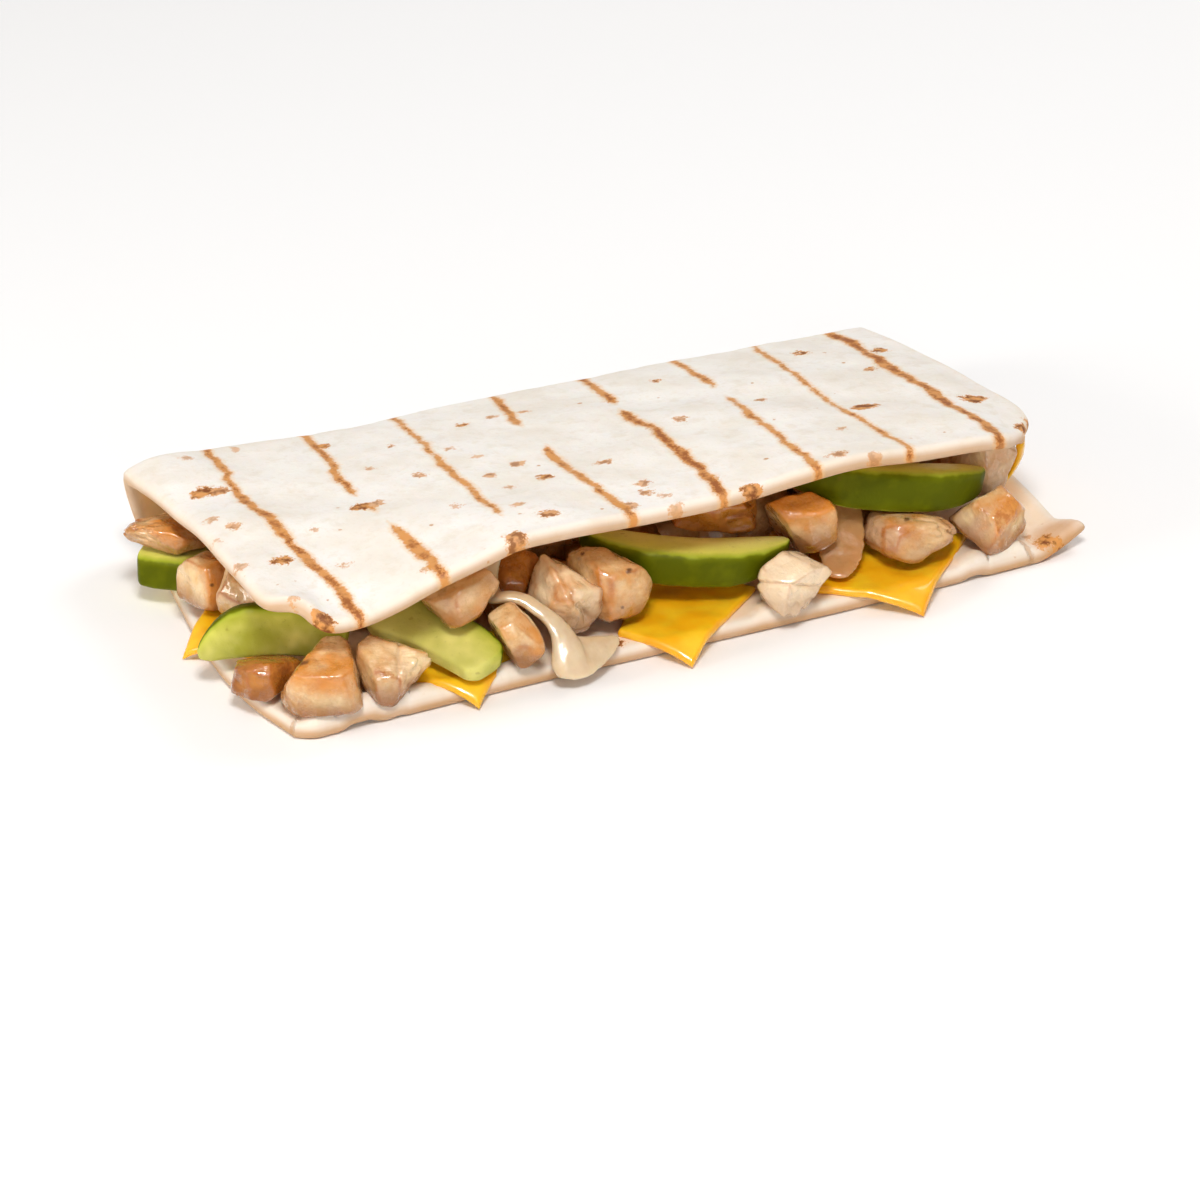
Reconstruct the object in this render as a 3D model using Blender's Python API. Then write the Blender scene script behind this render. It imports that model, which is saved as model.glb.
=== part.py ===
"""A grilled chicken quesadilla: a flour tortilla with its four sides turned in to make a square, then
folded once over diced chicken, avocado slices, cheddar slices and melted white cheese. It is open along
the front and at both ends.

X runs along the fold, the fold is at +Y, the open edge at -Y, and the underside lies flat on Z = 0. The
origin is under the middle of the bounding box. Numbers are in millimetres, and MM turns them into metres.
"""

import math
import random

import bmesh
import bpy
import numpy as np
from mathutils import Euler

MM = 0.001

# ---- Driving dimensions ----------------------------------------------------------------------------
TORTILLA_DIAMETER = 305.0  # the flat disc, before its four sides are turned in
SQUARE_SIDE = TORTILLA_DIAMETER / math.sqrt(2.0)  # the square left between the four folds
SHEET = 4.0  # a panel and the side turned in under it
PANEL_DEPTH = 96.0  # from the open edge to where the fold starts to turn
FOLD_BULGE = 5.0  # how far the round back of the fold stands out
GAP = 0.35  # left between pieces that touch
BOX_MIDDLE = (-1.2, -0.1, 0.0)  # of everything as drawn below, moved onto the origin

FOLD_Y = 51.5
BOTTOM_EDGE_Y = FOLD_Y - PANEL_DEPTH - 2.5
TOP_EDGE_Y = FOLD_Y - PANEL_DEPTH + 0.5

CHEDDAR_SHEET = 2.2


# ---- Making objects --------------------------------------------------------------------------------
def clear_scene():
    for obj in list(bpy.data.objects):
        bpy.data.objects.remove(obj, do_unlink=True)


def make_finish(name, colour, roughness):
    finish = bpy.data.materials.new(name)
    finish.use_nodes = True
    shader = finish.node_tree.nodes["Principled BSDF"]
    shader.inputs["Base Color"].default_value = (*colour, 1.0)
    shader.inputs["Roughness"].default_value = roughness
    shader.inputs["Metallic"].default_value = 0.0
    return finish


def make_object(name, points, faces, finish):
    """One closed body from points in millimetres, with its faces turned outwards."""
    mesh = bpy.data.meshes.new(name)
    mesh.from_pydata((np.asarray(points) * MM).tolist(), [], [[int(k) for k in face] for face in faces])
    body = bmesh.new()
    body.from_mesh(mesh)
    bmesh.ops.delete(body, geom=[v for v in body.verts if not v.link_faces], context="VERTS")
    bmesh.ops.recalc_face_normals(body, faces=body.faces)
    if body.calc_volume(signed=True) < 0:
        bmesh.ops.reverse_faces(body, faces=body.faces)
    bmesh.ops.triangulate(body, faces=body.faces)
    body.to_mesh(mesh)
    body.free()
    mesh.shade_smooth()
    mesh.materials.append(finish)
    obj = bpy.data.objects.new(name, mesh)
    obj.location = [-middle * MM for middle in BOX_MIDDLE]
    bpy.context.scene.collection.objects.link(obj)
    return obj


def points_of(obj):
    """The object's points in millimetres as drawn, as rows."""
    flat = np.empty(len(obj.data.vertices) * 3)
    obj.data.vertices.foreach_get("co", flat)
    return flat.reshape(-1, 3) / MM


def curve_through(stations, values, at):
    """A smooth curve through values at the stations, from cubic pieces with matched slopes."""
    stations, values = np.asarray(stations, float), np.asarray(values, float)
    at = np.clip(np.asarray(at, float), stations[0], stations[-1])
    slopes = np.gradient(values, stations, axis=0)
    i = np.clip(np.searchsorted(stations, at, side="right") - 1, 0, len(stations) - 2)
    span = stations[i + 1] - stations[i]
    t = (at - stations[i]) / span
    if values.ndim > 1:
        t, span = t[..., None], span[..., None]
    start, end = span * slopes[i] * (t - 2 * t**2 + t**3), span * slopes[i + 1] * (t**3 - t**2)
    return values[i] + start + (values[i + 1] - values[i]) * (3 * t**2 - 2 * t**3) + end


def turned(points, angles):
    """Rows of points turned about X, then Y, then Z by angles in degrees."""
    return np.asarray(points) @ np.array(Euler([math.radians(a) for a in angles]).to_matrix()).T


def tube_faces(stations, ring):
    """Faces of a closed tube whose points run ring by ring, with a face across each end."""
    faces = [
        (s * ring + k, s * ring + (k + 1) % ring, (s + 1) * ring + (k + 1) % ring, (s + 1) * ring + k)
        for s in range(stations - 1)
        for k in range(ring)
    ]
    return faces + [range(ring), range((stations - 1) * ring, stations * ring)]


def sheet_faces(rows, columns):
    """Faces of two grids of rows x columns points, one after the other, that share their border."""
    front = np.arange(rows * columns).reshape(rows, columns)
    back = front + rows * columns
    border = np.ones_like(front, bool)
    border[1:-1, 1:-1] = False
    back[border] = front[border]
    return [
        (grid[i, j], grid[i + 1, j], grid[i + 1, j + 1], grid[i, j + 1])[::order]
        for grid, order in ((front, 1), (back, -1))
        for i in range(rows - 1)
        for j in range(columns - 1)
    ]


# ---- Tortilla --------------------------------------------------------------------------------------
# Heights by X of the sheet's middle: along the fold, where the upper panel would reach at its open edge
# if it ran straight on, and where that edge droops to.
BACK_X, BACK_Z = (-105, -99, -84, -58, -10, 42, 97), (24.2, 26.2, 25.0, 22.8, 22.0, 20.4, 17.8)
CREST_X, CREST_Z = (-105, -92, -80, -65, -44, 0, 30, 60, 84, 101), (31, 32, 33, 35, 37.8, 37, 38, 37, 35, 31)
EDGE_X = (-105, -99, -92, -84, -76, -65, -54, -44, -34, -10, 12, 30, 45, 60, 84, 93, 101)
EDGE_Z = (31, 29.5, 26.4, 26.0, 27.6, 31.4, 34.4, 37.0, 37.2, 36.0, 35.6, 37.0, 37.6, 35.8, 33.4, 31.0, 29.5)
# Ends of the panels by share of depth: the lower one from its open edge back, the upper from the fold on.
LOWER_SHARE = (0.0, 0.12, 0.3, 0.5, 0.7, 1.0)
LOWER_LEFT, LOWER_RIGHT = (-102.5, -105.5, -107.0, -106.0, -103.6, -99.8), (105.0, 105.0, 106.5, 107.0, 104.5, 98.0)
UPPER_SHARE = (0.0, 0.25, 0.5, 0.8, 1.0)
UPPER_LEFT, UPPER_RIGHT = (-105.5, -103.8, -103.4, -104.4, -105.5), (97.5, 99.6, 100.4, 101.6, 102.5)
# Corners whose turned-in sides pull the outline in: place, direction inwards, pull, width, reach.
CORNERS = (
    ((-105.5, -44.0), (1, 1), 10.5, 6.5, 34.0),
    ((102.5, -44.0), (-1, 1), 11.5, 11.0, 40.0),
)
EAR = (106.0, -46.0, 13.0, 4.5)  # the lower panel's loose corner: place, size and rise


def lumps(x, y):
    """Low swellings where the upper panel lies on the filling: three crossed waves."""
    waves = ((2.1, 1.3, 0.4), (3.7, 2.6, 1.9), (5.3, 3.1, 4.0))
    half_length, half_depth = SQUARE_SIDE / 2, PANEL_DEPTH / 2
    return 0.4 * sum(
        np.sin(x / half_length * a * math.pi + phase) * np.cos(y / half_depth * b * math.pi + phase)
        for a, b, phase in waves
    )


def lower_panel(across, share):
    """The lower panel's middle, with share running from the open edge back to the fold."""
    left, right = curve_through(LOWER_SHARE, LOWER_LEFT, share), curve_through(LOWER_SHARE, LOWER_RIGHT, share)
    x = left + (right - left) * across
    edge = BOTTOM_EDGE_Y - 0.9 * np.sin(x / 34.0) + 5.0 * np.clip((-96.0 - x) / 8.0, 0, 1) ** 2
    y = edge + (FOLD_Y - edge) * share
    ear_x, ear_y, size, rise = EAR
    near = np.clip(1 - np.hypot(x - ear_x, y - ear_y) / size, 0, 1) ** 1.3
    return np.stack([x + 2.0 * near, y + 3.0 * near, SHEET / 2 + rise * near], -1)


def upper_panel(across, share):
    """The upper panel's middle, with share running from the fold to the open edge."""
    left, right = curve_through(UPPER_SHARE, UPPER_LEFT, share), curve_through(UPPER_SHARE, UPPER_RIGHT, share)
    x = left + (right - left) * across
    y = FOLD_Y + (TOP_EDGE_Y - FOLD_Y) * share
    back, crest = curve_through(BACK_X, BACK_Z, x), curve_through(CREST_X, CREST_Z, x)
    droop = crest - curve_through(EDGE_X, EDGE_Z, x)
    z = back + (crest - back) * share**0.9 - droop * share**5 + lumps(x, y) * np.sin(share * math.pi)
    for (corner_x, corner_y), inwards, pull, width, reach in CORNERS:
        inward = ((x - corner_x) * inwards[0] + (y - corner_y) * inwards[1]) / math.sqrt(2)
        beside = ((x - corner_x) * inwards[1] - (y - corner_y) * inwards[0]) / math.sqrt(2)
        shift = pull * np.exp(-((beside / width) ** 2)) * np.clip(1 - np.abs(inward) / reach, 0, 1) ** 2
        x, y = x + shift * inwards[0] / math.sqrt(2), y + shift * inwards[1] / math.sqrt(2)
    return np.stack([x, y, z], -1)


def tortilla_middle(across, along):
    """The sheet's middle. across is 0 at the left end and 1 at the right. along is 0 to 1 on the lower
    panel from its open edge, 1 to 2 round the fold, and 2 to 3 forward over the upper panel."""
    lower, upper = lower_panel(across, np.clip(along, 0, 1)), upper_panel(across, np.clip(along - 2, 0, 1))
    foot, head = lower_panel(across, np.ones_like(along)), upper_panel(across, np.zeros_like(along))
    angle = (np.clip(along - 1, 0, 1) - 0.5) * math.pi
    round_back = (foot + head) / 2 + (head - foot) / 2 * np.sin(angle)[..., None]
    round_back[..., 1] += FOLD_BULGE * np.cos(angle)
    return np.where((along <= 1)[..., None], lower, np.where((along < 2)[..., None], round_back, upper))


def tortilla(finish):
    """The folded sheet, SHEET thick, with every open rim rounded to a half circle."""
    rim = np.array([0.0, 0.3, 1.0]) * SHEET / 2
    length = SQUARE_SIDE
    left_corner = np.array([4.5, 7.5, 11.0, 15.0, 21.0])
    across = np.concatenate([rim, left_corner, np.linspace(30, length - 9, 18), length - rim[::-1]]) / length
    lower = np.concatenate([rim / PANEL_DEPTH, np.linspace(0, 1, 7)[1:]])
    fold = 1 + np.linspace(0, 1, 8)[1:]
    open_edge = np.array([19.0, 12.5, 8.5, 5.0])
    upper = np.concatenate([np.linspace(0, PANEL_DEPTH - 30, 6)[1:], PANEL_DEPTH - open_edge])
    upper = 2 + np.concatenate([upper, PANEL_DEPTH - rim[::-1]]) / PANEL_DEPTH
    u, v = np.meshgrid(across, np.concatenate([lower, fold, upper]), indexing="ij")
    small = 1e-3
    along_u = tortilla_middle(np.minimum(u + small, 1), v) - tortilla_middle(np.maximum(u - small, 0), v)
    along_v = tortilla_middle(u, np.minimum(v + small, 3)) - tortilla_middle(u, np.maximum(v - small, 0))
    normal = np.cross(along_u, along_v)
    normal /= np.linalg.norm(normal, axis=-1, keepdims=True)
    from_rim = np.minimum(np.minimum(u, 1 - u) * length, np.minimum(v, 3 - v) * PANEL_DEPTH)
    depth = np.clip(from_rim / (SHEET / 2), 0, 1)
    half = (SHEET / 2 * np.sqrt(1 - (1 - depth) ** 2))[..., None] * normal
    middle = tortilla_middle(u, v)
    points = np.concatenate([(middle - half).reshape(-1, 3), (middle + half).reshape(-1, 3)])
    return make_object("tortilla", points, sheet_faces(*u.shape), finish)


# ---- Sliced and melted fillings --------------------------------------------------------------------
def avocado_slice(name, place, along, face, length, bend, width, skin, pit, ends, finish):
    """A lengthwise slice: a wedge section, thick at its green outer side and thin where the stone was,
    carried along an arc of bend degrees. It points along one direction with a cut side facing another.
    ends holds the share of the width left at each end."""
    arc = math.radians(bend)
    radius = length / arc
    out = np.array([1.0, 0.9, 0.55, 0.0, -0.48, -0.62, -0.48, 0.0, 0.55, 0.9])  # from the stone outwards
    up = np.array([0.0, 0.42, 0.5, 0.5, 0.42, 0.0, -0.42, -0.5, -0.5, -0.42])
    thickness = pit + (skin - pit) * (out + 0.62) / 1.62
    rings = []
    for t in np.linspace(0, 1, SLICE_STATIONS):
        near_start, near_end = min(t / 0.36, 1.0), min((1 - t) / 0.36, 1.0)
        swell = (ends[0] + (1 - ends[0]) * math.sin(near_start * math.pi / 2)) * (
            ends[1] + (1 - ends[1]) * math.sin(near_end * math.pi / 2)
        )
        theta = (t - 0.5) * arc
        reach = radius + (out - 0.2) * width / 1.62 * (0.3 + 0.7 * swell) - 0.3 * width * (1 - swell)
        lift = up * thickness * (0.5 + 0.5 * swell)
        rings.append(np.stack([reach * math.sin(theta), reach * math.cos(theta) - radius, lift], -1))
    forward = np.array(along, float) / np.linalg.norm(along)
    outward = np.cross(face, forward)
    outward /= np.linalg.norm(outward)
    frame = np.array([forward, outward, np.cross(forward, outward)])
    points = np.concatenate(rings) @ frame + np.array(place)
    return make_object(name, points, tube_faces(SLICE_STATIONS, len(out)), finish)


SLICE_STATIONS = 11

# name, middle, direction, way its cut side faces, length, bend, width, thickness at the skin and at the
# stone, share left at the two ends
AVOCADO = (
    ("avocado_front_1", (-97, -17, 16.0), (0.89, -0.45, 0.03), (-0.42, -0.85, 0.3), 37, 46, 11.5, 8, 5, (0.1, 0.8)),
    ("avocado_front_2", (-60.5, -33.0, 12.6), (0.55, -0.81, -0.18), (-0.08, -0.26, 0.95), 34, 24, 14, 7, 5, (0.5, 0.75)),
    ("avocado_front_3", (5.0, -33.5, 15.6), (-0.93, 0.34, 0.12), (0.03, -0.36, 0.93), 54, 52, 13, 8.5, 5, (0.1, 0.2)),
    ("avocado_front_4", (59.0, -33.5, 23.4), (-0.96, 0.16, 0.2), (0.2, -0.1, 1.0), 54, 40, 13, 11, 6, (0.4, 0.2)),
    ("avocado_left_1", (-100.5, 31.5, 9.2), (0.82, 0.57, 0.0), (0.0, 0.0, 1.0), 20, 10, 12, 9.4, 8.6, (0.85, 0.9)),
    ("avocado_right_1", (91.0, 11.0, 13.0), (-0.08, -0.99, 0.05), (0.45, 0.0, 0.9), 30, 36, 12, 7.5, 4, (0.3, 0.4)),
)


def cheddar_slice(name, corners, hang, fall_from, finish):
    """A soft square slice lying on the lower panel, whose first corner hangs over the rim. The sheet
    spans its four corners in plan. From fall_from short of its tip on, it falls by hang times the share
    squared."""
    cells = 7
    tip, right, back, left = (np.array(corner, float) for corner in corners)
    u, v = np.meshgrid(np.linspace(0, 1, cells), np.linspace(0, 1, cells), indexing="ij")
    u, v = u[..., None], v[..., None]
    plan = tip * (1 - u) * (1 - v) + right * u * (1 - v) + back * u * v + left * (1 - u) * v
    x, y = plan[..., 0], plan[..., 1]
    outwards = (tip - back) / np.linalg.norm(tip - back)
    far = plan @ outwards
    over = np.clip(1 - (tip @ outwards - far) / fall_from, 0, 1)
    z = SHEET + GAP + CHEDDAR_SHEET / 2 - hang * over**2
    points = np.stack([x, y, z], -1)
    upper, lower = points.copy(), points.copy()
    rim = np.minimum(np.minimum(u, 1 - u), np.minimum(v, 1 - v))[..., 0] * (cells - 1)
    half = CHEDDAR_SHEET / 2 * np.clip(rim, 0, 1)
    upper[..., 2] += half
    lower[..., 2] -= half
    points = np.concatenate([upper.reshape(-1, 3), lower.reshape(-1, 3)])
    return make_object(name, points, sheet_faces(cells, cells), finish)


# name, four corners in plan with the hanging one first, its drop, how far short of it the drop starts
CHEDDAR = (
    ("cheddar_front_1", ((-58.5, -50.5), (-37, -33), (-56, -12), (-78, -30)), 4.0, 6.0),
    ("cheddar_front_2", ((-5.5, -56.0), (22, -35), (2, -12), (-24, -37)), 4.0, 8.8),
    ("cheddar_front_3", ((55.0, -58.5), (80, -34), (54, -12), (28, -38)), 4.2, 9.4),
    ("cheddar_left_1", ((-111.5, 3.0), (-96, -14), (-80, 3), (-96, 19)), 3.8, 6.0),
    ("cheddar_right_1", ((111.5, -0.5), (97.5, 15.5), (82, -0.5), (97, -17)), 1.5, 6.0),
)


def white_cheese_flow(name, route, widths, thicknesses, finish):
    """Melted cheese that starts on top of the hidden filling and runs forward and down between the
    pieces: a flat oval carried along a smooth route, with its width kept level."""
    share = np.linspace(0, 1, len(route))
    at = np.linspace(0, 1, 15)
    path = curve_through(share, route, at)
    width, thick = curve_through(share, widths, at), curve_through(share, thicknesses, at)
    along = np.gradient(path, axis=0)
    along /= np.linalg.norm(along, axis=1, keepdims=True)
    level = np.cross(along, (0, 0, 1.0))
    level /= np.linalg.norm(level, axis=1, keepdims=True)
    across = np.cross(level, along)
    angle = np.arange(10) / 10 * 2 * math.pi
    ring = np.cos(angle)[None, :, None] * level[:, None] * width[:, None, None] / 2
    ring = ring + np.sin(angle)[None, :, None] * across[:, None] * thick[:, None, None] / 2
    return make_object(name, (path[:, None] + ring).reshape(-1, 3), tube_faces(15, 10), finish)


# name, route, widths and thicknesses along it
WHITE_CHEESE = (
    (
        "white_cheese_1",
        ((-40, 34, 21.0), (-41, 14, 24.0), (-42, -6, 27.2), (-43, -24, 24.0), (-39, -36, 17), (-36.5, -44, 10.5),
         (-32.5, -49.6, 6.4), (-33, -52.0, 2.6)),
        (20, 26, 24, 12, 4.5, 6, 17, 7),
        (2.2, 2.4, 2.4, 2.6, 2.6, 3, 4, 2.5),
    ),
    (
        "white_cheese_2",
        ((40, 34, 20.0), (42, 14, 23.6), (44, -4, 26.5), (46, -18, 24), (46, -29, 18), (43.5, -36, 12.4), (40, -42, 8.4)),
        (20, 26, 24, 18, 12, 12, 9),
        (2.2, 2.4, 2.4, 2.6, 2.8, 3, 2),
    ),
)


# ---- Chicken ---------------------------------------------------------------------------------------
def nearest_on_hull(points):
    """The point nearest the origin on the convex hull of the points, by stepping to the best corner."""
    best = points[np.argmin((points**2).sum(1))]
    for _ in range(120):
        corner = points[np.argmin(points @ best)]
        step = corner - best
        if -(best @ step) < 1e-4:
            break
        best = best + step * min(1.0, -(best @ step) / (step @ step))
    return best


def dice_planes(place, size, turn, seed):
    """Outward normals and distances of the faces of a hand-cut dice: six sides, each a little askew,
    and five corners sliced off."""
    rng = random.Random(seed)
    half = np.array(size) / 2
    normals, distances = [], []
    for axis in range(3):
        for side in (-1, 1):
            normal = np.eye(3)[axis] * side + np.array([rng.uniform(-0.16, 0.16) for _ in range(3)])
            normals.append(normal / np.linalg.norm(normal))
            distances.append(half[axis])
    for _ in range(5):
        normal = np.array([rng.choice((-1, 1)) * rng.uniform(0.45, 1.0) for _ in range(3)]) / half
        normal /= np.linalg.norm(normal)
        normals.append(normal)
        distances.append(float(np.abs(normal) @ half) * rng.uniform(0.72, 0.9))
    return turned(normals, turn), np.array(distances)


def runs_of(points, length=40):
    """A long piece's points as overlapping runs, each short enough to be nearly convex."""
    step = length * 3 // 4
    return [points[start : start + length] for start in range(0, max(len(points) - length // 4, 1), step)]


def keep_off(place, normals, distances, obstacles):
    """Adds a face towards each obstacle's near part, as soft pieces pressed together flatten."""
    place = np.array(place, float)
    for points in obstacles:
        offsets = points - place
        offsets = offsets[np.linalg.norm(offsets, axis=1) < NEAR]
        if len(offsets) == 0:
            continue
        nearest = nearest_on_hull(offsets)
        normal = nearest / np.linalg.norm(nearest)
        normals = np.vstack([normals, normal])
        distances = np.append(distances, float((offsets @ normal).min()) - GAP)
    return normals, distances


def dice(name, place, size, turn, normals, distances, finish):
    """A dice of meat as one rounded solid. Along a direction its surface lies at the p-norm, over all
    the faces, of the direction's share of each face's distance."""
    body = bmesh.new()
    bmesh.ops.create_cube(body, size=2.0)
    bmesh.ops.subdivide_edges(body, edges=body.edges[:], cuts=3, use_grid_fill=True)
    body.verts.ensure_lookup_table()
    cube = np.array([v.co for v in body.verts])
    faces = [[v.index for v in face.verts] for face in body.faces]
    body.free()
    direction = turned(cube * (1 + 0.12 * (1 - cube**2)) * np.array(size), turn)
    direction /= np.linalg.norm(direction, axis=1, keepdims=True)
    share = np.maximum(direction @ normals.T / distances, 0)
    reach = (share**SHARPNESS).sum(1) ** (-1 / SHARPNESS)
    return make_object(name, direction * reach[:, None] + np.array(place), faces, finish)


NEAR = 26.0  # how far round a dice its neighbours are looked for
SHARPNESS = 11.0  # of the rounded edges between the cut faces

# name, middle, size, turn about X, Y and Z in degrees, seed of its cuts
CHICKEN = (
    ("chicken_front_1", (-92.4, -39.0, 10.9), (19, 17, 13.5), (6, 6, -14), 3),
    ("chicken_front_2", (-76.3, -40.5, 10.8), (14.5, 14, 12), (12, -8, 18), 8),
    ("chicken_front_3", (-55.5, -34.5, 21.5), (15, 12, 10), (-16, -24, 16), 5),
    ("chicken_front_4", (-44.8, -42.5, 12.6), (13.5, 13, 14.5), (-6, -22, -8), 12),
    ("chicken_front_5", (-28.0, -34.5, 15.4), (15.5, 14, 14), (16, 20, 14), 21),
    ("chicken_front_6", (-15.5, -31.5, 14.8), (16, 15, 13), (4, 6, 10), 30),
    ("chicken_front_7", (16.5, -23.0, 22.5), (21, 12, 9), (0, 6, -8), 14),
    ("chicken_front_8", (36.0, -31.5, 20.0), (15, 12, 15), (8, -12, -16), 6),
    ("chicken_front_9", (25.8, -45.0, 10.6), (16, 13, 13), (6, 14, 24), 17),
    ("chicken_front_10", (61.5, -38.5, 12.5), (20, 15, 12), (-4, 8, 6), 11),
    ("chicken_front_11", (82.5, -38.5, 11.8), (15.5, 15, 13.5), (10, -10, 20), 9),
    ("chicken_front_12", (89.0, -24.0, 17.5), (12, 13, 13), (0, 10, 12), 25),
    ("chicken_front_13", (-38.5, -23.0, 16.0), (12, 12, 14), (8, 4, 30), 29),
    ("chicken_left_1", (-100.0, 34.0, 16.4), (19, 15, 7), (10, 12, 20), 31),
    ("chicken_left_2", (-97.5, 16.5, 11.8), (14, 15, 13), (0, 12, 12), 4),
    ("chicken_left_3", (-94.5, 0.5, 14.6), (13, 13, 14), (8, -14, 30), 19),
    ("chicken_left_4", (-101.5, -25.5, 8.0), (16, 14, 7.5), (-8, 6, 28), 2),
    ("chicken_right_1", (88.0, -9.0, 12.5), (14, 13, 11), (6, 8, 14), 27),
    ("chicken_right_2", (94.0, 30.0, 10.2), (14, 12, 10), (-4, 10, -18), 33),
    ("chicken_right_3", (92.0, 43.0, 9.6), (14, 12, 9), (10, 6, 24), 35),
)


def all_chicken(obstacles, finish):
    """Every dice that shows, each flattened against the other fillings and against its neighbours."""
    sizes = {name: np.mean(size) for name, _, size, _, _ in CHICKEN}
    for name, place, size, turn, seed in CHICKEN:
        normals, distances = keep_off(place, *dice_planes(place, size, turn, seed), obstacles)
        for other, other_place, _, _, _ in CHICKEN:
            offset = np.array(other_place) - np.array(place)
            apart = np.linalg.norm(offset)
            if other != name and apart < NEAR:
                normals = np.vstack([normals, offset / apart])
                share = sizes[name] / (sizes[name] + sizes[other])
                distances = np.append(distances, apart * share - GAP / 2)
        if distances.min() < 1.5:
            print("dice is squeezed:", name, round(float(distances.min()), 2))
        yield dice(name, place, size, turn, normals, distances, finish)


def heap(pieces, layers, finish):
    """The filling that doesn't show, as one solid out to its uneven outline: a grid of columns from the
    lower panel to the upper one. It stays behind the pieces that show at the front, and under or over
    the cheese that passes through."""
    spacing, reach = 11.5, 8.0
    x = np.linspace(HEAP_ENDS[0], HEAP_ENDS[1], round((HEAP_ENDS[1] - HEAP_ENDS[0]) / spacing) + 1)
    front = np.array([pieces[np.abs(pieces[:, 0] - station) < spacing, 1].max() for station in x]) + 1.0
    back = FOLD_Y - SHEET - 2.0 + 1.2 * np.sin(x / 11.0)
    v = np.linspace(0, 1, 6)
    y = front[:, None] + (back - front)[:, None] * v
    x = np.repeat(x[:, None], len(v), axis=1)
    across = (x - UPPER_LEFT[2]) / (UPPER_RIGHT[2] - UPPER_LEFT[2])
    roof = upper_panel(across, (FOLD_Y - y) / PANEL_DEPTH)[..., 2] - SHEET / 2 - 1.6
    roof = roof - 1.0 * (1 + np.sin(x / 7.0) * np.cos(y / 6.0)) * (v > 0) * (v < 1)
    floor = np.full_like(x, SHEET + GAP)
    for i, j in np.ndindex(x.shape):
        near = layers[np.hypot(layers[:, 0] - x[i, j], layers[:, 1] - y[i, j]) < reach + spacing / 2]
        above, below = near[near[:, 2] > 12.0, 2], near[near[:, 2] < 10.0, 2]
        roof[i, j] = min([roof[i, j], *(above - 2 * GAP)])
        floor[i, j] = max([floor[i, j], *(below + GAP)])
    top, bottom = np.stack([x, y, roof], -1), np.stack([x, y, floor], -1)
    rows, columns = x.shape
    upper = np.arange(rows * columns).reshape(rows, columns)
    lower = upper + rows * columns
    faces = [
        (grid[i, j], grid[i + 1, j], grid[i + 1, j + 1], grid[i, j + 1])[::order]
        for grid, order in ((upper, 1), (lower, -1))
        for i in range(rows - 1)
        for j in range(columns - 1)
    ]
    ring = [(i, 0) for i in range(rows)] + [(rows - 1, j) for j in range(1, columns)]
    ring += [(i, columns - 1) for i in range(rows - 2, -1, -1)] + [(0, j) for j in range(columns - 2, 0, -1)]
    faces += [(upper[a], upper[b], lower[b], lower[a]) for a, b in zip(ring, ring[1:] + ring[:1])]
    return make_object("chicken_heap", np.concatenate([top.reshape(-1, 3), bottom.reshape(-1, 3)]), faces, finish)


HEAP_ENDS = (-80.0, 79.0)


def main():
    clear_scene()
    finishes = {
        name: make_finish(name, colour, roughness)
        for name, colour, roughness in (
            ("tortilla", (0.86, 0.79, 0.68), 0.7),
            ("chicken", (0.74, 0.53, 0.33), 0.4),
            ("avocado", (0.50, 0.58, 0.12), 0.45),
            ("cheddar", (0.95, 0.50, 0.02), 0.3),
            ("white_cheese", (0.85, 0.74, 0.52), 0.25),
        )
    }
    sheet = points_of(tortilla(finishes["tortilla"]))
    panels = [sheet[sheet[:, 2] < SHEET + 0.2], sheet[sheet[:, 2] > 16], sheet[sheet[:, 1] > FOLD_Y - 1]]
    avocado = [points_of(avocado_slice(*row, finishes["avocado"])) for row in AVOCADO]
    cheese = [points_of(cheddar_slice(*row, finishes["cheddar"])) for row in CHEDDAR]
    cheese += [points_of(white_cheese_flow(*row, finishes["white_cheese"])) for row in WHITE_CHEESE]
    obstacles = panels + [run for points in avocado + cheese for run in runs_of(points)]
    chicken = [points_of(obj) for obj in all_chicken(obstacles, finishes["chicken"])]
    heap(np.concatenate(avocado + chicken), np.concatenate(cheese), finishes["chicken"])


main()
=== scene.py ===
# A grilled chicken quesadilla: the folded tortilla with its grill marks, diced chicken, avocado slices,
# cheddar slices and melted white cheese. Lengths are in millimetres until a mesh is made, and every piece
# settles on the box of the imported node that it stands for.

import math

import bmesh
import bpy
import numpy as np
from mathutils import Matrix, Vector


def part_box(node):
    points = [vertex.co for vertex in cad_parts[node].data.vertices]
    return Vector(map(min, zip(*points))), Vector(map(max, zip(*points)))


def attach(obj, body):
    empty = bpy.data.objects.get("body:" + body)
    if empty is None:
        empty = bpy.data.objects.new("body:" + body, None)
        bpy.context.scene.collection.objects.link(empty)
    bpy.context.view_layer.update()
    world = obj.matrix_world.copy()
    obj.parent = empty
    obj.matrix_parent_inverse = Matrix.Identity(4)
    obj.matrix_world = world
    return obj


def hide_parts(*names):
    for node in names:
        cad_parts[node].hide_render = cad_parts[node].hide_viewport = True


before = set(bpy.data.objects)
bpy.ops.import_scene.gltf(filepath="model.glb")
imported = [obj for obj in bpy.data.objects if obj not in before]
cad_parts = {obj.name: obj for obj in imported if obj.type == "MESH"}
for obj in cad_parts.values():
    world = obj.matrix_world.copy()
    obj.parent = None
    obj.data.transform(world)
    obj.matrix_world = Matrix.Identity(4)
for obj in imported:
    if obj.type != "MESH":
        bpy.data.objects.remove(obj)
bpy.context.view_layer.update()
mm = 0.001
print("frame loaded with", len(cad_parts), "nodes")


# ---------- numbers on whole arrays

def smooth(start, end, value):  # 0 up to start, 1 from end on, an S between them
    part = np.clip((value - start) / (end - start), 0, 1)
    return part * part * (3 - 2 * part)


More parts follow.
